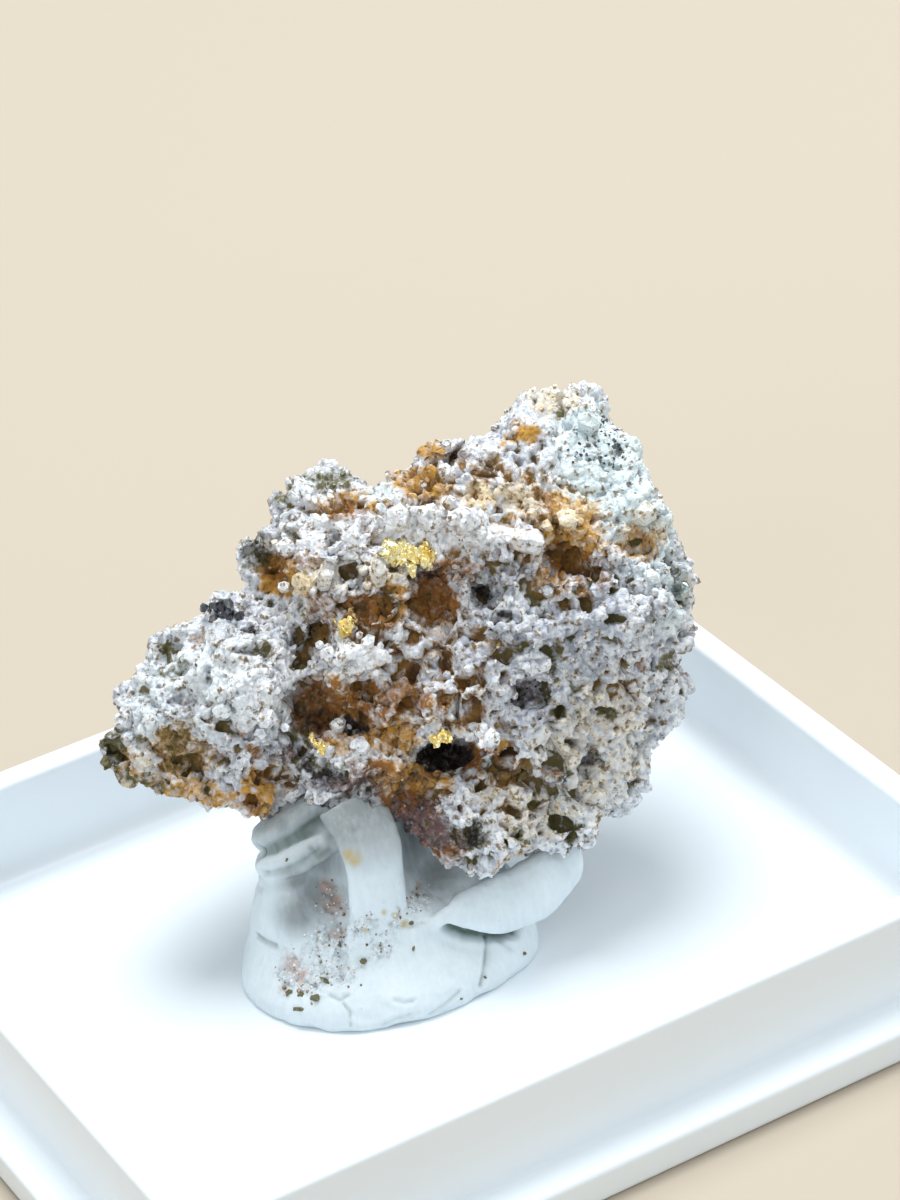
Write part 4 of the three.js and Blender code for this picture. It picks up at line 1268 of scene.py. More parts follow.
@dataclass
class QuartzMatrix:
    """The rock: its body, the druse of quartz grains over it, and the points that stand out."""

    form: MatrixForm
    material: Material
    dark: Material
    fold_size: float = 0.85
    fold_relief: float = 0.26
    crumb_size: float = 0.42
    crumb_relief: float = 0.17
    pore_depth: float = 0.5
    small_pore_depth: float = 0.24
    groove_depth: float = 0.07
    grit_relief: float = 0.13
    pitch: float = 0.092
    triangles: int = 196000
    seat_depth: float = 0.12
    speck_count: int = 260
    speck_radius: float = 0.06
    layers: tuple[Druse, ...] = (
        Druse("quartz_druse_medium", 1200, 0.11, 0.3, 1.1, 0.6, 22),
        Druse("quartz_druse_fine", 3200, 0.06, 0.3, 1.1, 0.7, 23),
    )
    skin: Skin = field(init=False)

    def seats(self) -> list[Patch]:
        """Where gold and other crystals sit: the amount is the depth of the surface under them."""
        found = []
        for node, half in (("gold_main", (1.5, 0.7)), ("gold_flake_west", (0.6, 0.5)),
                           ("gold_grain_south", (0.6, 0.45)), ("gold_sliver", (0.6, 0.5)),
                           ("dark_crystal", (0.9, 0.7)), ("bright_crystal", (0.5, 0.6))):
            x, y, z = self.form.frame.node_middle(node)
            found.append(Patch(x, y, *half, z - self.seat_depth))
        return found

    def stains(self, points: Array, facing: Array) -> dict[str, Array]:
        """The stain masks at points of the specimen frame.

        Formula: a stain is the largest over its patches of the amount times 1 less the smooth step
        of the share from 0.55 to 1.25, at a place that noise has pushed about; behind the rim soft
        blotches stand for it; the clean mask takes away from all the darker ones.

        Args:
            points: the places.
            facing: 1 on the show face and 0 behind it.

        Returns:
            One mask for each stain.
        """
        push = np.stack([wobble(points, 0.9, 101), wobble(points, 0.9, 102)], -1)
        push += 0.6 * np.stack([wobble(points, 0.4, 103), wobble(points, 0.4, 104)], -1)
        moved = points.copy()
        moved[:, :2] += 0.34 * push
        masks = {}
        for number, (stain, group) in enumerate(STAINS.items()):
            value = np.zeros(len(points))
            for patch in group:
                value = np.maximum(value, patch.fading(moved, 0.55, 1.25))
            masks[stain.value] = value * facing
            if stain in EARTHS:
                cloud = wobble(points, 3.4, 120 + number) + 0.6 * wobble(points, 1.3, 130 + number)
                masks[stain.value] += (1.0 - facing) * 0.8 * smooth(0.25, 1.0, cloud)
        clean = masks[Stain.CLEAN.value]
        for stain in DARKENING:
            masks[stain.value] = masks[stain.value] * (1.0 - 0.9 * clean)
        return masks

    def shaped(self) -> Surface:
        """The rock without its fine grains: body, relief, seats and small hollows, as even quads."""
        form = self.form
        directions, quads = form.directions()
        body = form.body(directions)
        normals = vertex_normals(body, quads)
        points = body + normals * (form.relief(body, normals) - form.druse_allowance)[:, None]
        facing = smooth(-0.25, 0.25, directions[:, 2])
        normals = unit(relaxed(vertex_normals(points, quads), quads, 4))
        for seat in self.seats():
            near = (1.0 - smooth(0.7, 1.5, seat.share(points))) * smooth(0.0, 0.4, normals[:, 2])
            near = near * smooth(1.6, 0.9, np.abs(points[:, 2] - seat.amount))
            points[:, 2] += near * (seat.amount - points[:, 2])
        dent = sum(pit.fading(points, 0.5, 1.15) for pit in SMALL_PITS)
        dent = dent * facing * smooth(0.1, 0.5, normals[:, 2])
        points = relaxed(points - normals * dent[:, None], quads, 2)
        even = {"mode": "VOXEL", "voxel_size": self.pitch * MM}
        points, quads = Surface(points, [quads]).through("REMESH", even, 4)
        return Surface(points, [quads])

    def make_skin(self) -> None:
        """Works out the surface with its grains and pores, thins it where it is flat, then its masks.

        Formula: along averaged normals stand the grains' heights in two sizes, less a groove along
        the small ones' creases, less pores where two sizes of noise together pass a limit; a place
        counts as hollow by how far its neighbours' average lies outside it. The hollow mask is partly
        iron staining and partly painted shade, and painted shade darkens the tone in creases, cups and
        the shade patches.
        """
        rough = self.shaped()
        points, quads = rough.points, rough.faces[0]
        outward = unit(relaxed(vertex_normals(points, quads), quads, 6))
        facing = smooth(-0.2, 0.3, outward[:, 2])
        moved, _, _ = self.fine(points, self.stains(points, facing))
        points = points + outward * moved[:, None]
        share = self.triangles / (2.0 * len(quads))
        thin = {"decimate_type": "COLLAPSE", "ratio": min(1.0, share), "use_collapse_triangulate": True}
        points, faces = Surface(points, [quads]).through("DECIMATE", thin, 3)
        normals = vertex_normals(points, faces)
        facing = smooth(-0.2, 0.3, unit(relaxed(normals, faces, 6))[:, 2])
        stains = self.stains(points, facing)
        clean = stains[Stain.CLEAN.value]
        _, gap, own = self.fine(points, stains)
        crease_mean = relaxed(points, faces, 2)
        near_mean = relaxed(crease_mean, faces, 5)
        far_mean = relaxed(near_mean, faces, 50)
        crease = smooth(0.004, 0.04, ((crease_mean - points) * normals).sum(-1))
        cup = ((near_mean - points) * normals).sum(-1)
        bowl = ((far_mean - points) * normals).sum(-1)
        # Hollow: gaps, pores and cups, darkened partly as iron staining and partly as painted shade.
        hollow = smooth(0.03, 0.16, cup) * 0.7 + smooth(0.12, 0.5, bowl) * 0.4 + 0.8 * gap - 0.1
        hollow = np.clip(hollow, 0.0, 1.0) * (1.0 - 0.65 * clean)
        # Painted shade: the shade patches, the creases and the cups darken the tone towards lilac grey.
        shade = sum(patch.fading(points, 0.3, 1.2) for patch in PAINTED_SHADE)
        tone = 0.88 - 0.3 * np.clip(shade, 0.0, 1.0) * facing + 0.2 * wobble(points, 1.6, 191)
        tone = tone + 0.3 * clean + 0.45 * (own - 0.5) * (1.0 - 0.6 * clean)
        tone = tone - 0.4 * crease - 0.3 * smooth(0.0, 0.12, cup) * (1.0 - 0.5 * clean)
        masks = dict(stains)
        for stain in EARTHS:
            masks[stain.value] = masks[stain.value] * (1.0 + 0.6 * (own - 0.5))
        masks["hollow"] = hollow
        masks["tone"] = np.clip(tone, 0.0, 1.0)
        self.skin = Skin(points, faces, normals, masks)

    def fine(self, points: Array, stains: dict[str, Array]) -> tuple[Array, Array, Array]:
        """The fine relief at points of the specimen frame.

        Args:
            points: the places.
            stains: the masks there, of which the clean one closes pores and the warm one opens them.

        Returns:
            How far the surface moves out, how far a place lies in a gap, and its grain's own number.
        """
        bent = points + 0.16 * np.stack([wobble(points, 0.6, salt) for salt in (141, 142, 143)], -1)
        fold = grains(bent, self.fold_size, 151)
        crumb = grains(bent, self.crumb_size, 161)
        clean, warm = stains[Stain.CLEAN.value], stains[Stain.WARM.value]
        wide = wobble(points, 0.62, 171) + 0.55 * wobble(points, 0.3, 172) + 0.3 * wobble(points, 2.6, 173)
        wide = wide + 0.22 * warm - 0.5 * clean
        pore = smooth(0.3, 0.5, wide)
        tight = wobble(points, 0.34, 181) + 0.4 * wobble(points, 0.2, 182) + 0.1 * warm - 0.25 * clean
        small = smooth(0.36, 0.6, tight)
        soft = 1.0 - 0.6 * clean - 0.2 * (1.0 - warm) * (1.0 - clean)
        moved = (self.fold_relief * fold.height + self.crumb_relief * crumb.height) * soft
        moved = moved - self.groove_depth * crumb.crease * soft
        moved = moved - self.pore_depth * (0.7 * pore + 0.5 * np.maximum(0.0, wide - 0.35))
        grit = wobble(points, 0.3, 183) + 0.6 * wobble(points, 0.17, 184)
        moved = moved + self.grit_relief * pore * grit - self.small_pore_depth * small
        shown = 0.4 + 0.6 * warm
        return moved, np.maximum(pore, np.maximum(0.6 * small, 0.45 * crumb.crease) * shown), crumb.own

    def rock(self) -> Object:
        """The rock's own body."""
        skin = self.skin
        surface = Surface(self.form.frame.to_row(skin.points), [skin.faces], skin.masks)
        made = surface.piece("quartz_body", Shading.SMOOTH, self.material)
        return settle(made, "quartz", "quartz_matrix")

    def grown(self, crystals: Crystals, random: np.random.Generator, cleaner: float) -> Surface:
        """Crystals whose stains fade towards their tips, with painted shade at their feet.

        Args:
            crystals: the crystals, in the specimen frame.
            random: the source of chance.
            cleaner: how much of the stain is gone at the tip.

        Returns:
            Their surface, in the row frame.
        """
        surface = crystals.surface(random)
        rise = surface.masks.pop("rise")
        for stain in DARKENING:
            surface.masks[stain.value] = surface.masks[stain.value] * (1.0 - cleaner * rise)
        # Painted shade: the feet are darker where they meet the rock; the hollow mask fades towards the
        # tip.
        surface.masks["hollow"] = np.clip(surface.masks["hollow"] * (1.0 - rise) + 0.5 * (rise < 0.1), 0, 1)
        surface.points = self.form.frame.to_row(surface.points)
        return surface

    def druse(self, layer: Druse) -> Object:
        """One layer of grains spread over the rock, thinner in dark hollows and on the putty's side."""
        random = np.random.default_rng(layer.seed)
        skin = self.skin
        dark = np.clip(skin.masks[Stain.DARK.value] + 0.5 * skin.masks[Stain.RUST.value], 0.0, 1.0)
        row = self.form.frame.to_row(skin.points)
        under = smooth(-0.1, -0.5, skin.normals @ self.form.frame.up())
        on_putty = under * (np.hypot(row[:, 0] - PUTTY_AXIS[0], row[:, 1] - PUTTY_AXIS[1]) < PUTTY_RADIUS)
        front = smooth(-0.5, 0.3, skin.normals[:, 2])
        weight = (0.55 + 0.45 * front) * (1.0 - 0.6 * dark) * (1.0 - 0.75 * skin.masks["hollow"]) ** 2
        weight = weight * (1.0 - on_putty) * (1.0 - 0.5 * skin.masks[Stain.CLEAN.value])
        root, near = skin.pick(layer.count, np.maximum(weight, 1e-4), random)
        root = root - 0.45 * layer.radius * skin.normals[near]
        wander = random.normal(size=(layer.count, 3))
        direction = unit(skin.normals[near] + layer.lean * 0.6 * wander)
        radius = layer.radius * np.exp(layer.spread * random.normal(size=layer.count))
        radius = np.clip(radius, 0.5 * layer.radius, 1.9 * layer.radius)
        length = radius * layer.stretch * np.exp(0.2 * random.normal(size=layer.count))
        masks = {name: values[near] for name, values in skin.masks.items()}
        masks["tone"] = np.clip(masks["tone"] + 0.22 * random.normal(size=layer.count), 0.0, 1.0)
        crystals = Crystals(root, direction, radius, length, masks)
        surface = self.grown(crystals, random, 0.3)
        return settle(surface.piece(layer.name, Shading.FLAT, self.material), "quartz")

    def points(self) -> Object:
        """The quartz points that stand out, each with smaller ones at its foot."""
        random = np.random.default_rng(31)
        rows = []
        for point in POINTS:
            root = self.skin.front_point(point.x, point.y)
            rows.append((*root, point.lean_x, point.lean_y, 1.0, point.radius, point.length))
            for _ in range(3):
                aside = random.normal(size=2) * point.radius * 0.9
                lean = random.normal(size=2) * 0.5
                size = point.radius * random.uniform(0.35, 0.6)
                rows.append((root[0] + aside[0], root[1] + aside[1], root[2] - 0.1,
                             point.lean_x + lean[0], point.lean_y + lean[1], 1.0, size, 2.2 * size))
        table = np.array(rows)
        nearest = [np.abs(self.skin.points - row[:3]).sum(1).argmin() for row in table]
        masks = {name: values[nearest] for name, values in self.skin.masks.items()}
        masks["tone"] = np.clip(masks["tone"] + 0.3, 0.0, 1.0)
        for stain in DARKENING:
            masks[stain.value] = 0.25 * masks[stain.value]
        masks["hollow"] = 0.3 * masks["hollow"]
        crystals = Crystals(table[:, :3], unit(table[:, 3:6]), table[:, 6], 0.62 * table[:, 7], masks)
        surface = self.grown(crystals, random, 0.8)
        return settle(surface.piece("quartz_points", Shading.FLAT, self.material), "quartz")

    def specks(self) -> Object:
        """Tiny dark green and black crystals, thickest on the top right mass."""
        random = np.random.default_rng(41)
        count = self.speck_count
        skin = self.skin
        weight = np.full(len(skin.points), 0.006)
        for patch in SPECKLED:
            weight += patch.fading(skin.points, 0.6, 1.2)
        weight = weight * smooth(-0.2, 0.3, skin.normals[:, 2])
        root, near = skin.pick(count, weight, random)
        direction = unit(skin.normals[near] + 0.6 * random.normal(size=(count, 3)))
        radius = self.speck_radius * np.exp(0.3 * random.normal(size=count))
        # pale: how much painted sheen each speck shows.
        masks = {"pale": np.clip(0.3 + 0.4 * random.normal(size=count), 0.0, 1.0)}
        crystals = Crystals(root - 0.03 * direction, direction, radius, 1.8 * radius, masks)
        surface = crystals.surface(random)
        del surface.masks["rise"]
        surface.points = self.form.frame.to_row(surface.points)
        return settle(surface.piece("dark_specks", Shading.FLAT, self.dark), "dark_mineral")

    def build(self) -> None:
        """Makes the rock and all that grew on it."""
        self.make_skin()
        self.rock()
        for layer in self.layers:
            self.druse(layer)
        self.points()
        self.specks()


@dataclass(frozen=True)
class Leafing:
    """One gold aggregate: its node, spread, slant, leaves and their size, and its painted highlight from
    end to end.
    """

    node: str
    half: Pair
    slant: float
    leaves: int
    size: float
    stretch: float
    highlight_left: float
    highlight_right: float
    seed: int


@dataclass
class GoldLeaves:
    """Native gold: heaps of small crumpled leaves."""

    frame: SpecimenFrame
    material: Material
    around: int = 9
    across: int = 5
    thickness: float = 0.16
    heaps: tuple[Leafing, ...] = (
        Leafing("gold_main", (1.0, 0.32), -10, 210, 0.15, 1.15, 1.0, 0.55, 51),
        Leafing("gold_flake_west", (0.3, 0.26), 40, 44, 0.15, 1.2, 0.6, 0.6, 52),
        Leafing("gold_grain_south", (0.3, 0.15), 15, 30, 0.12, 1.2, 0.7, 0.5, 53),
        Leafing("gold_sliver", (0.42, 0.07), -45, 24, 0.09, 1.6, 0.5, 0.3, 54),
    )

    def heap(self, leafing: Leafing) -> Object:
        """One aggregate.

        Formula: a leaf is a flattened ball over longitude and latitude, whose radius is ragged round
        its edge and whose height wobbles, so that it looks folded; leaves lie about a slanted line.
        """
        random = np.random.default_rng(leafing.seed)
        n = leafing.leaves
        middle = self.frame.node_middle(leafing.node)
        angle = math.radians(leafing.slant)
        along = random.uniform(-1.0, 1.0, n) * leafing.half[0]
        aside = random.normal(size=n) * leafing.half[1] * 0.5
        height = 0.16 * random.uniform(-1.0, 1.0, n) - 0.22 * (along / leafing.half[0]) ** 2
        centre = np.stack([
            middle[0] + along * math.cos(angle) - aside * math.sin(angle),
            middle[1] + along * math.sin(angle) + aside * math.cos(angle),
            middle[2] + height,
        ], -1)
        size = leafing.size * np.exp(0.35 * random.normal(size=n))
        normal = unit(np.stack([*(0.6 * random.normal(size=(2, n))), np.ones(n)], -1))
        first, second = frame_round(normal)
        turn = 2.0 * math.pi * np.arange(self.around) / self.around
        level = np.linspace(-0.5 * math.pi, 0.5 * math.pi, self.across)[1:-1]
        ragged = 1.0 + 0.3 * random.uniform(-1.0, 1.0, (n, 1, self.around))
        ring = np.cos(level)[None, :, None] * ragged * size[:, None, None]
        x = ring * np.cos(turn) * leafing.stretch
        y = ring * np.sin(turn) / leafing.stretch
        z = np.sin(level)[None, :, None] * self.thickness * size[:, None, None] * np.ones_like(ring)
        z = z + 0.3 * size[:, None, None] * random.uniform(-1.0, 1.0, (n, 1, self.around))
        grid = (centre[:, None, None] + first[:, None, None] * x[..., None]
                + second[:, None, None] * y[..., None] + normal[:, None, None] * z[..., None])
        poles = np.stack([centre - normal * (self.thickness * size)[:, None],
                          centre + normal * (self.thickness * size)[:, None]], 1)
        rows = self.across - 2
        each = rows * self.around + 2
        points = np.concatenate([grid.reshape(n, -1, 3), poles], 1)
        j = np.arange(self.around)
        k = (j + 1) % self.around
        start = (np.arange(n) * each)[:, None, None]
        walls = (grid_faces(rows, self.around, True)[None] + start).reshape(-1, 4)
        bottom = np.stack([k, j, np.full_like(j, each - 2)], -1)
        top = np.stack([j + (rows - 1) * self.around, k + (rows - 1) * self.around,
                        np.full_like(j, each - 1)], -1)
        caps = (np.concatenate([bottom, top])[None] + start).reshape(-1, 3)
        # Painted highlight: paler from one end of the heap to the other, varied from leaf to leaf.
        share = (along / leafing.half[0] + 1.0) / 2.0
        pale = leafing.highlight_left + (leafing.highlight_right - leafing.highlight_left) * share
        pale = np.clip(pale + 0.2 * random.normal(size=n), 0.0, 1.0)
        # Painted shade: leaves lower in the heap are darker.
        hollow = np.clip(-height / 0.4, 0.0, 1.0)
        masks = {"pale": np.repeat(pale, each), "hollow": np.repeat(0.7 * hollow, each)}
        surface = Surface(self.frame.to_row(points.reshape(-1, 3)), [walls, caps], masks)
        made = surface.piece(leafing.node + "_leaves", Shading.FLAT, self.material)
        return settle(made, "gold", leafing.node)

    def build(self) -> None:
        """Makes the four aggregates."""
        for leafing in self.heaps:
            self.heap(leafing)


@dataclass
class OtherCrystals:
    """The purple-black crystals on the nose and the silvery one on the right edge."""

    frame: SpecimenFrame
    dark: Material
    bright: Material
    dark_count: int = 16
    dark_radius: float = 0.24
    bright_count: int = 7
    bright_radius: float = 0.34

    def cluster(self, node: str, count: int, radius: float, half: Pair,
                lean: Pair, seed: int) -> Surface:
        """Crystals heaped about a node's middle.

        Args:
            node: the CAD node.
            count: how many.
            radius: the largest one's.
            half: the heap's half sizes along X and Y.
            lean: the direction's X and Y against a Z of 1.
            seed: of the random numbers.

        Returns:
            Their surface in the row frame.
        """
        random = np.random.default_rng(seed)
        middle = self.frame.node_middle(node)
        size = radius * (1.0 - 0.65 * np.arange(count) / count)
        offset = random.normal(size=(count, 3)) * [half[0], half[1], 0.08]
        offset[0] = 0.0
        direction = unit(np.array([[*lean, 1.0]]) + 0.45 * random.normal(size=(count, 3)))
        # pale: how much painted sheen each crystal shows.
        masks = {"pale": np.clip(0.35 + 0.35 * random.normal(size=count), 0.0, 1.0)}
        root = middle + offset - 0.35 * size[:, None] * direction
        crystals = Crystals(root, direction, size, 1.9 * size, masks)
        surface = crystals.surface(random, uneven=0.2, slant=0.35)
        del surface.masks["rise"]
        surface.points = self.frame.to_row(surface.points)
        return surface

    def build(self) -> None:
        """Makes both clusters."""
        dark = self.cluster("dark_crystal", self.dark_count, self.dark_radius,
                            (0.26, 0.24), (-0.3, 0.6), 61)
        made = dark.piece("dark_crystals", Shading.FLAT, self.dark)
        settle(made, "dark_mineral", "dark_crystal")
        bright = self.cluster("bright_crystal", self.bright_count, self.bright_radius,
                              (0.13, 0.16), (0.5, 0.2), 62)
        made = bright.piece("bright_crystals", Shading.FLAT, self.bright)
        settle(made, "bright_mineral", "bright_crystal")


@dataclass(frozen=True)
class PuttyLump:
    """One pressed lump: centre, half sizes and turn about Z in degrees."""

    place: Triple
    half: Triple
    turn: float


@dataclass(frozen=True)
class Crease:
    """A fold line in the putty: its route, depth, width and darkness, which is painted shade along it.

    A point of the route is the photograph's pixel at which it is seen, and how far behind the skin
    it runs there.
    """

    route: tuple[Triple, ...]
    depth: float
    width: float
    dark: float


@dataclass(frozen=True)
class Strand:
    """A rolled or pulled strand: its route, half width and half thickness at each knot.

    The width points along across; flare lifts the edge at its far end towards the front.
    """

    route: tuple[Triple, ...]
    width: tuple[float, ...]
    thickness: tuple[float, ...]
    across: Triple
    flare: float = 0.0


LUMPS_OF_PUTTY = (
    PuttyLump((-2.4, -0.6, 1.4), (5.3, 4.1, 1.9), -22),  # pad
    PuttyLump((0.8, -2.1, 1.4), (3.0, 2.3, 1.5), -10),  # pad right
    PuttyLump((-1.9, 1.2, 4.6), (3.4, 2.8, 4.6), -20),  # column
    PuttyLump((-3.6, 2.2, 6.8), (1.5, 1.4, 1.4), 0),  # behind the lobe
    PuttyLump((-4.8, 1.0, 2.8), (1.65, 2.4, 3.1), 0),  # left wall
    PuttyLump((-1.9, -1.7, 2.9), (2.0, 1.7, 2.0), -20),  # plateau
    PuttyLump((0.9, -1.2, 3.0), (3.0, 2.4, 2.3), -10),  # right root
    PuttyLump((1.2, 3.0, 3.8), (3.4, 2.6, 3.2), 20),  # back lobe
)

# Hollows between the lumps.
DENTS_OF_PUTTY = (
    PuttyLump((-4.3, -1.2, 6.1), (1.15, 1.5, 2.0), -25),  # beside the sheet
    PuttyLump((-0.2, -2.4, 6.3), (1.2, 1.7, 1.7), -20),  # under the rock
)

STRANDS = (
    # upright sheet
    Strand(((-2.5, -0.2, 9.0), (-2.45, -1.4, 7.8), (-2.5, -1.8, 6.4), (-2.65, -1.95, 5.0),
            (-2.7, -2.1, 3.2)),
           (1.3, 1.2, 1.1, 1.15, 1.6), (0.6, 0.5, 0.45, 0.55, 0.9), (0.85, -0.52, 0.0), 0.45),
    # upper roll
    Strand(((-5.0, 2.9, 6.9), (-5.15, 1.8, 7.25), (-4.5, 1.3, 7.8), (-3.4, 0.8, 8.3), (-2.6, 0.5, 8.5)),
           (0.4, 0.66, 0.68, 0.62, 0.5), (0.4, 0.66, 0.66, 0.55, 0.45), (0.25, 0.3, 0.92)),
    # lower roll
    Strand(((-5.0, 2.4, 5.9), (-5.4, 1.3, 6.35), (-4.75, 0.5, 6.85), (-3.9, -0.1, 7.4), (-3.2, -0.5, 7.7)),
           (0.4, 0.62, 0.62, 0.52, 0.4), (0.4, 0.64, 0.64, 0.5, 0.35), (0.25, 0.3, 0.92)),
    # tongue
    Strand(((-1.7, -2.9, 4.05), (-0.75, -3.2, 4.2), (0.45, -3.55, 4.4), (1.8, -3.75, 4.2),
            (3.3, -3.85, 4.3), (4.6, -3.9, 4.95), (5.3, -3.9, 5.6)),
           (0.2, 0.26, 0.8, 1.2, 1.3, 1.0, 0.3), (0.2, 0.24, 0.5, 0.62, 0.65, 0.5, 0.25),
           (0.1, 0.35, 0.93)),
    # under the tongue
    Strand(((-0.2, -2.4, 3.0), (1.0, -2.9, 2.8), (2.4, -3.0, 2.5), (3.1, -2.9, 2.2)),
           (0.6, 0.9, 0.8, 0.4), (0.5, 0.7, 0.7, 0.4), (0.1, 0.35, 0.93)),
    # right flap
    Strand(((0.8, -3.4, 1.6), (1.6, -3.6, 2.0), (2.6, -3.2, 2.0), (3.2, -2.5, 1.7)),
           (0.4, 0.7, 0.75, 0.5), (0.4, 0.5, 0.5, 0.4), (0.3, 0.75, 0.6)),
)

CREASES = (
    Crease(((258, 852, 0), (275, 845, 0.2), (300, 832, 0.2), (322, 820, 0.7)), 0.3, 0.3, 0.75),
    Crease(((264, 874, 0), (285, 870, 0), (305, 860, 0), (318, 850, 0)), 0.2, 0.2, 0.35),
    Crease(((311, 848, 0), (318, 858, 0), (328, 850, 0)), 0.1, 0.14, 0.5),
    Crease(((410, 926, 0), (425, 922, 0), (443, 923, 0.3)), 0.08, 0.1, 0.1),
    Crease(((448, 925, 0.3), (465, 932, 0), (489, 934, 0), (515, 931, 0.85)), 0.25, 0.22, 0.9),
    Crease(((450, 905, 0.25), (460, 895, 0.85)), 0.1, 0.14, 0.2),
    Crease(((343, 1003, 0), (350, 1012, 0), (351, 1025, 0)), 0.08, 0.07, 0.35),  # crack
    Crease(((395, 1000, 0), (405, 1003, 0), (413, 1001, 0)), 0.07, 0.1, 0.2),
    Crease(((385, 1025, 0), (395, 1020, 0), (410, 1015, 0)), 0.1, 0.1, 0.15),
    Crease(((430, 1015, 0), (445, 1005, 0), (460, 992, 0)), 0.1, 0.1, 0.15),
    Crease(((488, 938, 0), (486, 960, 0), (481, 985, 0)), 0.16, 0.13, 0.2),  # flap's seam
    Crease(((500, 940, 0), (512, 950, 0)), 0.08, 0.12, 0.1),
    Crease(((256, 935, 0), (265, 942, 0), (275, 946, 0)), 0.14, 0.15, 0.35),
    Crease(((330, 995, 0), (340, 1000, 0), (348, 995, 0)), 0.07, 0.1, 0.35),
    Crease(((340, 980, 0), (345, 965, 0), (340, 955, 0)), 0.14, 0.14, 0.1),
)

# Spots on the putty's skin: the photograph's pixel at which each is seen, and its radius.
DIRT = (
    (290, 963, 0.5), (300, 975, 0.45), (284, 988, 0.25), (334, 904, 0.6), (327, 887, 0.4),
    (338, 935, 0.4), (417, 895, 0.2), (420, 885, 0.18),
)
OCHRE_SMEARS = (
    (348, 855, 0.3), (355, 860, 0.34), (384, 912, 0.14), (395, 915, 0.14), (404, 924, 0.2),
    (365, 930, 0.16),
)
DUST = (
    (320, 945, 0.7), (340, 945, 0.7), (355, 930, 0.5), (330, 970, 0.8), (345, 975, 0.6),
    (310, 985, 0.6), (367, 924, 0.45), (290, 975, 0.6), (410, 905, 0.5), (422, 898, 0.45),
    (396, 922, 0.5), (380, 948, 0.6),
)

# Single grains of rock that stick in the putty: the pixel, radius and length.
STUCK = (
    (284, 988, 0.09, 0.2), (290, 992, 0.1, 0.22), (301, 995, 0.13, 0.2), (316, 997, 0.15, 0.28),
    (325, 981, 0.1, 0.4), (302, 1010, 0.08, 0.45), (364, 961, 0.14, 0.2), (414, 948, 0.06, 0.3),
    (525, 953, 0.09, 0.2), (287, 860, 0.06, 0.12), (461, 998, 0.05, 0.1), (485, 978, 0.05, 0.1),
    (410, 924, 0.1, 0.12), (340, 945, 0.08, 0.2), (417, 896, 0.07, 0.2),
)

# Painted shade on the putty, deep between the folds and under the rock: place in the row frame and radius.
PAINTED_SHADE_SPOTS = (
    ((-4.0, -0.1, 6.6), 1.3), ((-4.4, -0.1, 5.4), 1.3), ((-5.4, -0.3, 4.9), 1.0),
    ((-3.9, -0.5, 7.3), 0.8), ((-4.9, 0.1, 6.2), 0.9), ((-0.5, -1.0, 6.6), 1.6),
    ((0.2, -1.7, 5.2), 1.0), ((-2.6, -0.8, 9.2), 1.5), ((-5.0, 1.0, 8.4), 0.7), ((1.6, -3.6, 2.9), 0.5),
    ((3.4, -1.6, 5.6), 1.4),
)


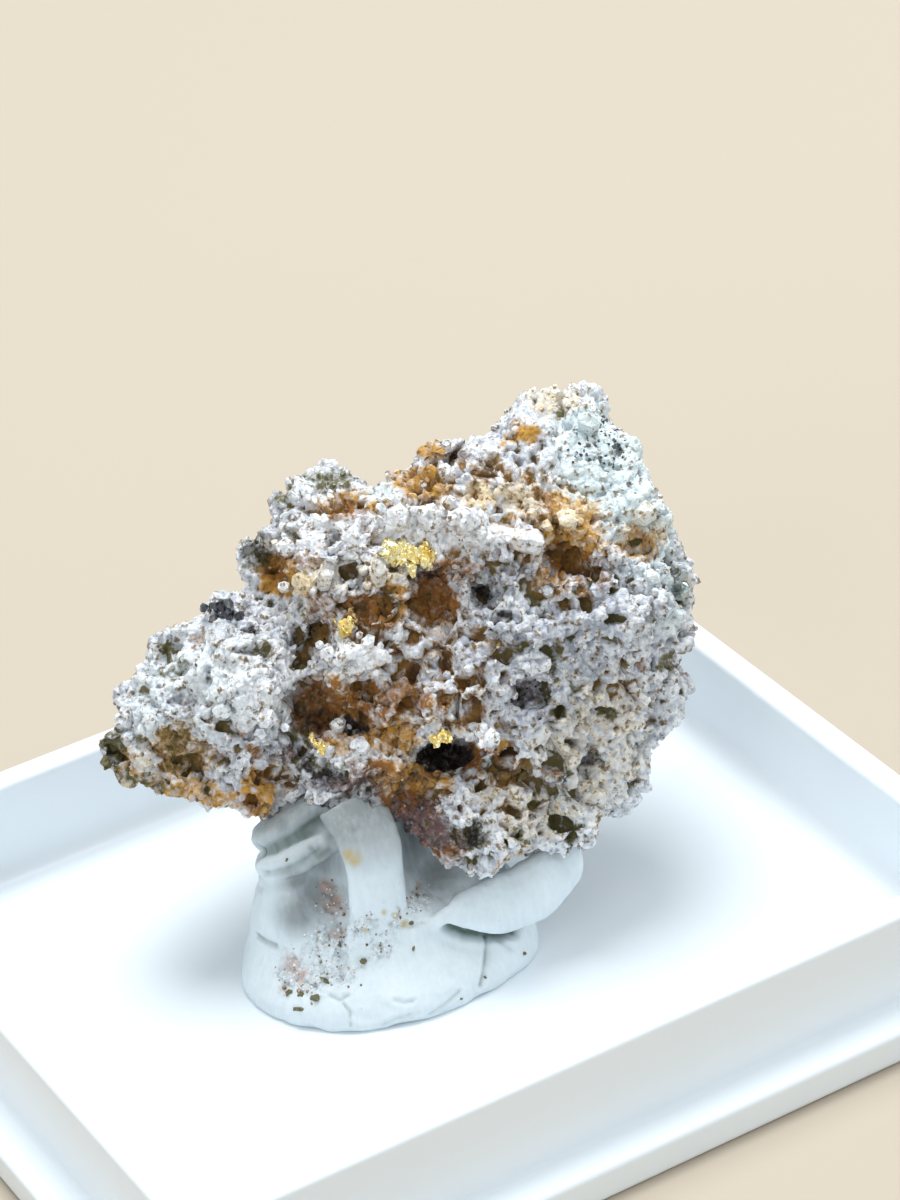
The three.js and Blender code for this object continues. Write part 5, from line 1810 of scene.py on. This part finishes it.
@dataclass
class MountingPutty:
    """The putty: one kneaded mass with a curling tongue, folds, dirt and crumbs of rock in it."""

    frame: SpecimenFrame
    view: PhotoView
    skin: Skin
    material: Material
    crumb_material: Material
    axis: Pair = PUTTY_AXIS
    low: float = 1.1
    top: float = 9.4
    blend: float = 2.6
    reach: float = 9.0
    knead: float = 0.16
    knead_size: float = 1.9
    levels: int = 110
    around: int = 240
    strand_steps: int = 60
    voxel: float = 0.085
    loose_crumbs: int = 420

    def swell(self, lump: PuttyLump, points: Array) -> Array:
        """A lump's firmness: e to the blend times 1 less the squared share of its half sizes."""
        q = points - np.array(lump.place)
        c, s = math.cos(math.radians(lump.turn)), math.sin(math.radians(lump.turn))
        x = (c * q[:, 0] + s * q[:, 1]) / lump.half[0]
        y = (c * q[:, 1] - s * q[:, 0]) / lump.half[1]
        return np.exp(self.blend * (1.0 - x * x - y * y - (q[:, 2] / lump.half[2]) ** 2))

    def firmness(self, points: Array) -> Array:
        """The sum over the lumps, less that over the dents; the putty's skin lies where it is 1."""
        full = sum(self.swell(lump, points) for lump in LUMPS_OF_PUTTY)
        return full - sum(self.swell(dent, points) for dent in DENTS_OF_PUTTY)

    def mass(self) -> Surface:
        """The mass as loops about its axis.

        Formula: on each ray from the axis at a height and an angle, the outermost radius at which
        the firmness is 1, found on a row of radii and then by halving, plus the kneading's grains.
        """
        share = (np.arange(self.levels + 1) / self.levels) ** 1.2
        height = np.repeat(self.low + (self.top - self.low) * share, self.around)
        angle = np.tile(2.0 * math.pi * np.arange(self.around) / self.around, self.levels + 1)

        def at(radius: Array) -> Array:
            """Points at a radius on every ray."""
            return np.stack([self.axis[0] + radius * np.cos(angle),
                             self.axis[1] + radius * np.sin(angle), height], -1)

        outside = np.full(len(height), self.reach)
        step = 0.2
        for _ in range(int(self.reach / step) - 1):
            hollow = (self.firmness(at(outside - step)) < 1.0) & (outside > 2 * step)
            outside = np.where(hollow, outside - step, outside)
        inside = outside - step
        for _ in range(10):
            middle = (inside + outside) / 2.0
            firm = self.firmness(at(middle)) >= 1.0
            inside, outside = np.where(firm, middle, inside), np.where(firm, outside, middle)
        radius = inside + self.knead * grains(at(inside), self.knead_size, 71).height
        loops = at(np.maximum(radius, 0.2)).reshape(self.levels + 1, self.around, 3)
        return Surface(loops.reshape(-1, 3), loft(loops))

    def strand(self, strand: Strand) -> Surface:
        """A strand as closed loops along a smooth curve.

        Formula: the middle is a cubic curve through the knots; round it the loop is the half width
        times the cosine along the across direction, and the half thickness times the sine along the
        direction at right angles to it and to the way ahead, plus the flare times the square of half
        of 1 less the cosine, so that the far edge stands forward.
        """
        knots = np.array(strand.route)
        t = np.linspace(0.0, 1.0, self.strand_steps) * (len(knots) - 1)
        before = np.minimum(t.astype(int), len(knots) - 2)
        local = (t - before)[:, None]
        padded = np.concatenate([2 * knots[:1] - knots[1:2], knots, 2 * knots[-1:] - knots[-2:-1]])
        p0, p1, p2, p3 = (padded[before + n] for n in range(4))
        middle = 0.5 * (2 * p1 + (p2 - p0) * local + (2 * p0 - 5 * p1 + 4 * p2 - p3) * local ** 2
                        + (3 * p1 - p0 - 3 * p2 + p3) * local ** 3)
        ahead = unit(np.gradient(middle, axis=0))
        over = unit(np.cross(ahead, [strand.across]))
        over = over * np.where(over[:, 1:2] > 0.0, -1.0, 1.0)
        aside = unit(np.cross(over, ahead))
        aside = aside * np.sign(aside @ np.array(strand.across))[:, None]
        at = np.arange(len(knots))
        width = np.interp(t, at, strand.width)[:, None]
        thickness = np.interp(t, at, strand.thickness)[:, None]
        angle = np.linspace(0.0, 2.0 * math.pi, 64, endpoint=False)
        forward = thickness * np.sin(angle) + strand.flare * (0.5 - 0.5 * np.cos(angle)) ** 2
        loops = (middle[:, None] + aside[:, None] * (width * np.cos(angle))[..., None]
                 + over[:, None] * forward[..., None])
        if np.linalg.det([aside[0], over[0], ahead[0]]) <= 0.0:
            loops = loops[:, ::-1]
        return Surface(loops.reshape(-1, 3), loft(loops))

    def ceiling(self, points: Array) -> Array:
        """The rock's lowest height over each point, from its vertices sorted into small squares."""
        row = self.frame.to_row(self.skin.points)
        pitch = 0.2
        low = np.array([-16.0, -12.0])
        count = 200
        index = np.clip(((row[:, :2] - low) / pitch).astype(int), 0, count - 1)
        lowest = np.full((count, count), 99.0)
        np.minimum.at(lowest, (index[:, 0], index[:, 1]), row[:, 2])
        here = np.clip(((points[:, :2] - low) / pitch).astype(int), 0, count - 1)
        return lowest[here[:, 0], here[:, 1]]

    def build(self) -> Object:
        """Shapes the putty: folds, stretch lines and wrinkles on the fused skin."""
        raw = self.mass()
        for strand in STRANDS:
            raw = raw.joined(self.strand(strand))
        points, quads = raw.through("REMESH", {"mode": "VOXEL", "voxel_size": self.voxel * MM}, 4)
        points = relaxed(points, quads, 2)
        normals = vertex_normals(points, quads)
        moved = np.zeros(len(points))
        fold = np.zeros(len(points))
        for crease in CREASES:
            marks = np.array(crease.route, float)
            route = self.view.seen(points, marks[:, :2], marks[:, 2])
            gap = segment_distance(points, route) / crease.width
            lip = np.exp(-((gap - 1.9) / 0.7) ** 2) * 0.22
            moved -= crease.depth * (np.exp(-gap ** 2) - lip)
            # Painted shade along each crease: the fold mask.
            fold = np.maximum(fold, crease.dark * np.exp(-(gap / 0.8) ** 2))
        height = points[:, 2]
        turned = np.stack([points[:, 0], points[:, 1], 0.14 * height], -1)
        stretch = wobble(turned, 0.3, 201) + 0.6 * wobble(turned, 0.15, 202)
        moved += 0.03 * smooth(2.8, 4.2, height) * stretch
        level = np.stack([0.35 * points[:, 0], 0.35 * points[:, 1], height], -1)
        ripple = wobble(level, 0.3, 203) + 0.5 * wobble(points, 0.45, 204)
        moved += 0.05 * smooth(2.4, 1.3, height) * ripple + 0.04 * wobble(points, 0.9, 205)

        def spots(places: Sequence[tuple[Any, float]]) -> Array:
            """The largest over soft round spots of e to minus the squared share of the radius."""
            return np.max([np.exp(-((points - place) ** 2).sum(-1) / radius ** 2)
                           for place, radius in places], axis=0)

        def seen_spots(rows: Sequence[tuple[float, ...]]) -> Array:
            """Spots where the photograph shows them."""
            marks = np.array(rows, float)
            return spots(list(zip(self.view.seen(points, marks[:, :2]), marks[:, 2])))

        masks = {"dirt": seen_spots(DIRT), "dust": seen_spots(DUST), "ochre": seen_spots(OCHRE_SMEARS)}
        # Painted shade: the shade spots, and the putty's upper part under the rock.
        masks["shade"] = np.maximum(spots(PAINTED_SHADE_SPOTS), 0.85 * smooth(5.8, 9.0, height))
        rough = np.clip(masks["dirt"] + masks["dust"], 0.0, 1.0)
        moved += 0.2 * rough * (grains(points, 0.42, 211).height + 0.6 * grains(points, 0.22, 221).height)
        points = points + normals * moved[:, None]
        points[:, 2] = np.minimum(points[:, 2], self.ceiling(points) + 0.35)
        points[:, 2] = np.maximum(points[:, 2], self.low)
        cup = ((relaxed(points, quads, 8) - points) * vertex_normals(points, quads)).sum(-1)
        # Painted shade in the putty's cups joins the fold mask.
        masks["fold"] = np.clip(fold + smooth(0.02, 0.12, cup) * 0.45 * (1.0 - rough), 0.0, 1.0)
        made = Surface(points, [quads], masks).piece("putty", Shading.SMOOTH, self.material)
        self.crumbs(points, quads, masks)
        return settle(made, "putty", "mounting_putty")

    def crumbs(self, points: Array, quads: Array, masks: dict[str, Array]) -> Object:
        """Crumbs of rock pressed into the putty, thick where it is dusty.

        Args:
            points: the putty's points in the row frame.
            quads: its quads.
            masks: its dust and dirt.

        Returns:
            The joined crumbs.
        """
        random = np.random.default_rng(71)
        putty = Skin(points, quads, vertex_normals(points, quads), {})
        weight = masks["dust"] ** 2 + 0.5 * masks["dirt"] + 0.001
        weight = weight * (points[:, 2] < self.top - 2.0) * (points[:, 2] > self.low + 0.1)
        loose = self.loose_crumbs
        root, near = putty.pick(loose, weight, random)
        single = np.array(STUCK)
        places = self.view.seen(points, single[:, :2])
        stuck = [((points - place) ** 2).sum(-1).argmin() for place in places]
        root, near = np.concatenate([root, points[stuck]]), np.concatenate([near, stuck])
        count = len(root)
        wander = np.where(np.arange(count) < loose, 0.7, 1.6)[:, None]
        direction = unit(putty.normals[near] + wander * random.normal(size=(count, 3)))
        radius = np.append(0.04 * np.exp(0.3 * random.normal(size=loose)), single[:, 2])
        length = np.append(1.5 * radius[:loose], single[:, 3])
        root = root - 0.3 * length[:, None] * direction
        blank = {stain.value: np.zeros(count) for stain in Stain}
        kind = np.append(random.random(loose), np.full(len(STUCK), 0.99))
        blank[Stain.RUST.value] = 0.6 * (kind < 0.16)
        blank[Stain.OLIVE.value] = 0.8 * ((kind > 0.94) & (kind < 0.98)) + 0.9 * (kind > 0.98)
        blank["hollow"] = 0.1 * random.random(count)
        blank["tone"] = 0.6 + 0.4 * random.random(count)
        surface = Crystals(root, direction, radius, length, blank).surface(random)
        del surface.masks["rise"]
        return settle(surface.piece("putty_crumbs", Shading.FLAT, self.crumb_material), "quartz")


@dataclass
class BoxBase:
    """The moulded base: a floor in a raised rim, with a ledge all round for the lid."""

    material: Material
    length: float = 40.0
    width: float = 34.0
    height: float = 5.5
    ledge: float = 1.6
    ledge_height: float = 1.5
    wall: float = 1.2
    floor: float = 1.1
    corner: float = 1.5
    edge: float = 0.25
    fillet: float = 0.8
    arc_steps: int = 7
    corner_steps: int = 14
    margin: float = 0.05

    def arc(self, centre: Pair, radius: float, start: float, stop: float) -> Array:
        """Profile points round a centre, from one angle to another in degrees."""
        angle = np.radians(np.linspace(start, stop, self.arc_steps + 1))
        return np.stack([centre[0] + radius * np.cos(angle), centre[1] + radius * np.sin(angle)], -1)

    def profile(self) -> Array:
        """The section from the underside round the outside and over the rim to the floor.

        Formula: pairs of how far a loop lies inside the footprint and its height; each corner of the
        section is a quarter circle, with a point close by on each straight so that flats stay flat.
        """
        e, h, r = self.edge, self.height, self.ledge
        inner = r + self.wall
        low = self.ledge_height
        parts = [
            [(e + self.margin, 0.0)], self.arc((e, e), e, 270, 180),
            [(0.0, e + self.margin), (0.0, low - e - self.margin)], self.arc((e, low - e), e, 180, 90),
            [(e + self.margin, low), (r - e - self.margin, low)], self.arc((r - e, low + e), e, -90, 0),
            [(r, low + e + self.margin), (r, h - e - self.margin)], self.arc((r + e, h - e), e, 180, 90),
            [(r + e + self.margin, h), (inner - e - self.margin, h)],
            self.arc((inner - e, h - e), e, 90, 0),
            [(inner, h - e - self.margin), (inner, self.floor + self.fillet + self.margin)],
            self.arc((inner + self.fillet, self.floor + self.fillet), self.fillet, 180, 270),
            [(inner + self.fillet + self.margin, self.floor), (inner + 2.0 * self.fillet, self.floor)],
        ]
        return np.concatenate([np.asarray(part, float) for part in parts])

    def build(self) -> Object:
        """Sweeps the section round a rectangle with round corners."""
        profile = self.profile()
        quarter = np.repeat(np.arange(4), self.corner_steps + 1)
        turn = np.tile(np.arange(self.corner_steps + 1) / self.corner_steps, 4)
        angle = (quarter + turn) * math.pi / 2.0
        side_x = np.where((quarter == 0) | (quarter == 3), 1.0, -1.0)
        side_y = np.where(quarter < 2, 1.0, -1.0)
        inset, height = profile[:, :1], profile[:, 1:]
        radius = np.maximum(0.4, self.corner - 0.4 * inset)
        x = side_x * (self.length / 2.0 - inset - radius) + radius * np.cos(angle)
        y = side_y * (self.width / 2.0 - inset - radius) + radius * np.sin(angle)
        loops = np.stack([x, y, height * np.ones_like(x)], -1)
        surface = Surface(loops.reshape(-1, 3), loft(loops))
        made = surface.piece("moulded_box_base", Shading.SMOOTH, self.material)
        return settle(made, "box", "box_base")


@dataclass(frozen=True)
class SoftLight:
    """One soft lamp: place and size in metres, power in watts, and colour."""

    name: str
    place: Triple
    size: float
    power: float
    colour: Colour


@dataclass
class Studio:
    """The camera at the photograph's viewing angle, soft lamps and a plain pale floor."""

    view: PhotoView
    sensor: float = 36.0
    floor_size: float = 3.0
    sky: Colour = (0.92, 0.975, 1.0)
    sky_strength: float = 0.66
    lights: tuple[SoftLight, ...] = (
        SoftLight("overhead", (0.05, 0.12, 0.42), 0.26, 1.7, (0.96, 0.98, 1.0)),
        SoftLight("front_left", (-0.34, -0.22, 0.22), 0.24, 0.3, (1.0, 0.99, 0.97)),
        SoftLight("right_rim", (0.34, -0.06, 0.20), 0.20, 0.42, (0.93, 0.97, 1.0)),
    )

    def camera(self) -> None:
        """Sets the camera where the box base's edges put it."""
        data = bpy.data.cameras.new("camera")
        data.lens = self.sensor * self.view.focus / max(self.view.frame)
        data.sensor_width = self.sensor
        data.clip_start = 0.01
        camera = bpy.data.objects.new("camera", data)
        bpy.context.scene.collection.objects.link(camera)
        right, up, ahead = self.view.axes()
        matrix = np.eye(4)
        matrix[:3, 0], matrix[:3, 1], matrix[:3, 2] = right, up, -ahead
        matrix[:3, 3] = np.array(self.view.place) * MM
        camera.matrix_world = matrix.T
        bpy.context.scene.camera = camera

    def lamps(self) -> None:
        """Hangs the soft lamps, each turned to the specimen, and sets the sky."""
        target = np.array([0.0, 0.0, 0.01])
        for light in self.lights:
            data = bpy.data.lights.new(light.name, "AREA")
            data.shape = "DISK"
            data.size = light.size
            data.energy = light.power
            data.color = light.colour
            lamp = bpy.data.objects.new(light.name, data)
            bpy.context.scene.collection.objects.link(lamp)
            back = unit(np.array(light.place) - target)
            first, second = frame_round(back[None])
            matrix = np.eye(4)
            matrix[:3, 0], matrix[:3, 1], matrix[:3, 2] = first[0], second[0], back
            matrix[:3, 3] = light.place
            lamp.matrix_world = matrix.T
        world = bpy.data.worlds.new("sky")
        world.use_nodes = True
        background = next(n for n in world.node_tree.nodes if n.type == "BACKGROUND")
        background.inputs["Color"].default_value = (*self.sky, 1.0)
        background.inputs["Strength"].default_value = self.sky_strength
        bpy.context.scene.world = world

    def floor(self) -> None:
        """Lays the floor just under the box base."""
        half = self.floor_size / (2.0 * MM)
        points = np.array([[-half, -half, 0.0], [half, -half, 0.0], [half, half, 0.0], [-half, half, 0.0]])
        surface = Surface(points, [np.array([[0, 1, 2, 3]])])
        surface.piece("studio_floor", Shading.FLAT, FloorFinish().build())

    def build(self) -> None:
        """Sets up everything round the object."""
        self.camera()
        self.lamps()
        self.floor()
        bpy.context.scene.view_settings.view_transform = "Standard"


def corners(box: tuple[Any, Any]) -> list[list[float]]:
    """A box's two corners as plain lists."""
    return [list(map(float, corner)) for corner in box]


def main() -> None:
    """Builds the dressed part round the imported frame."""
    logging.basicConfig(level=logging.INFO, format="%(name)s %(message)s")
    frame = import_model()
    LOG.info("nodes: %s", ", ".join(sorted(frame["nodes"])))
    specimen = SpecimenFrame()
    view = PhotoView()
    Studio(view).build()
    quartz = QuartzFinish().build()
    dark = DARK_MINERAL.build()
    matrix = QuartzMatrix(MatrixForm(specimen), quartz, dark)
    matrix.build()
    GoldLeaves(specimen, GoldFinish().build()).build()
    OtherCrystals(specimen, dark, BRIGHT_MINERAL.build()).build()
    MountingPutty(specimen, view, matrix.skin, PuttyFinish().build(), quartz).build()
    BoxBase(PlasticFinish().build()).build()


if __name__ == "__main__":
    main()
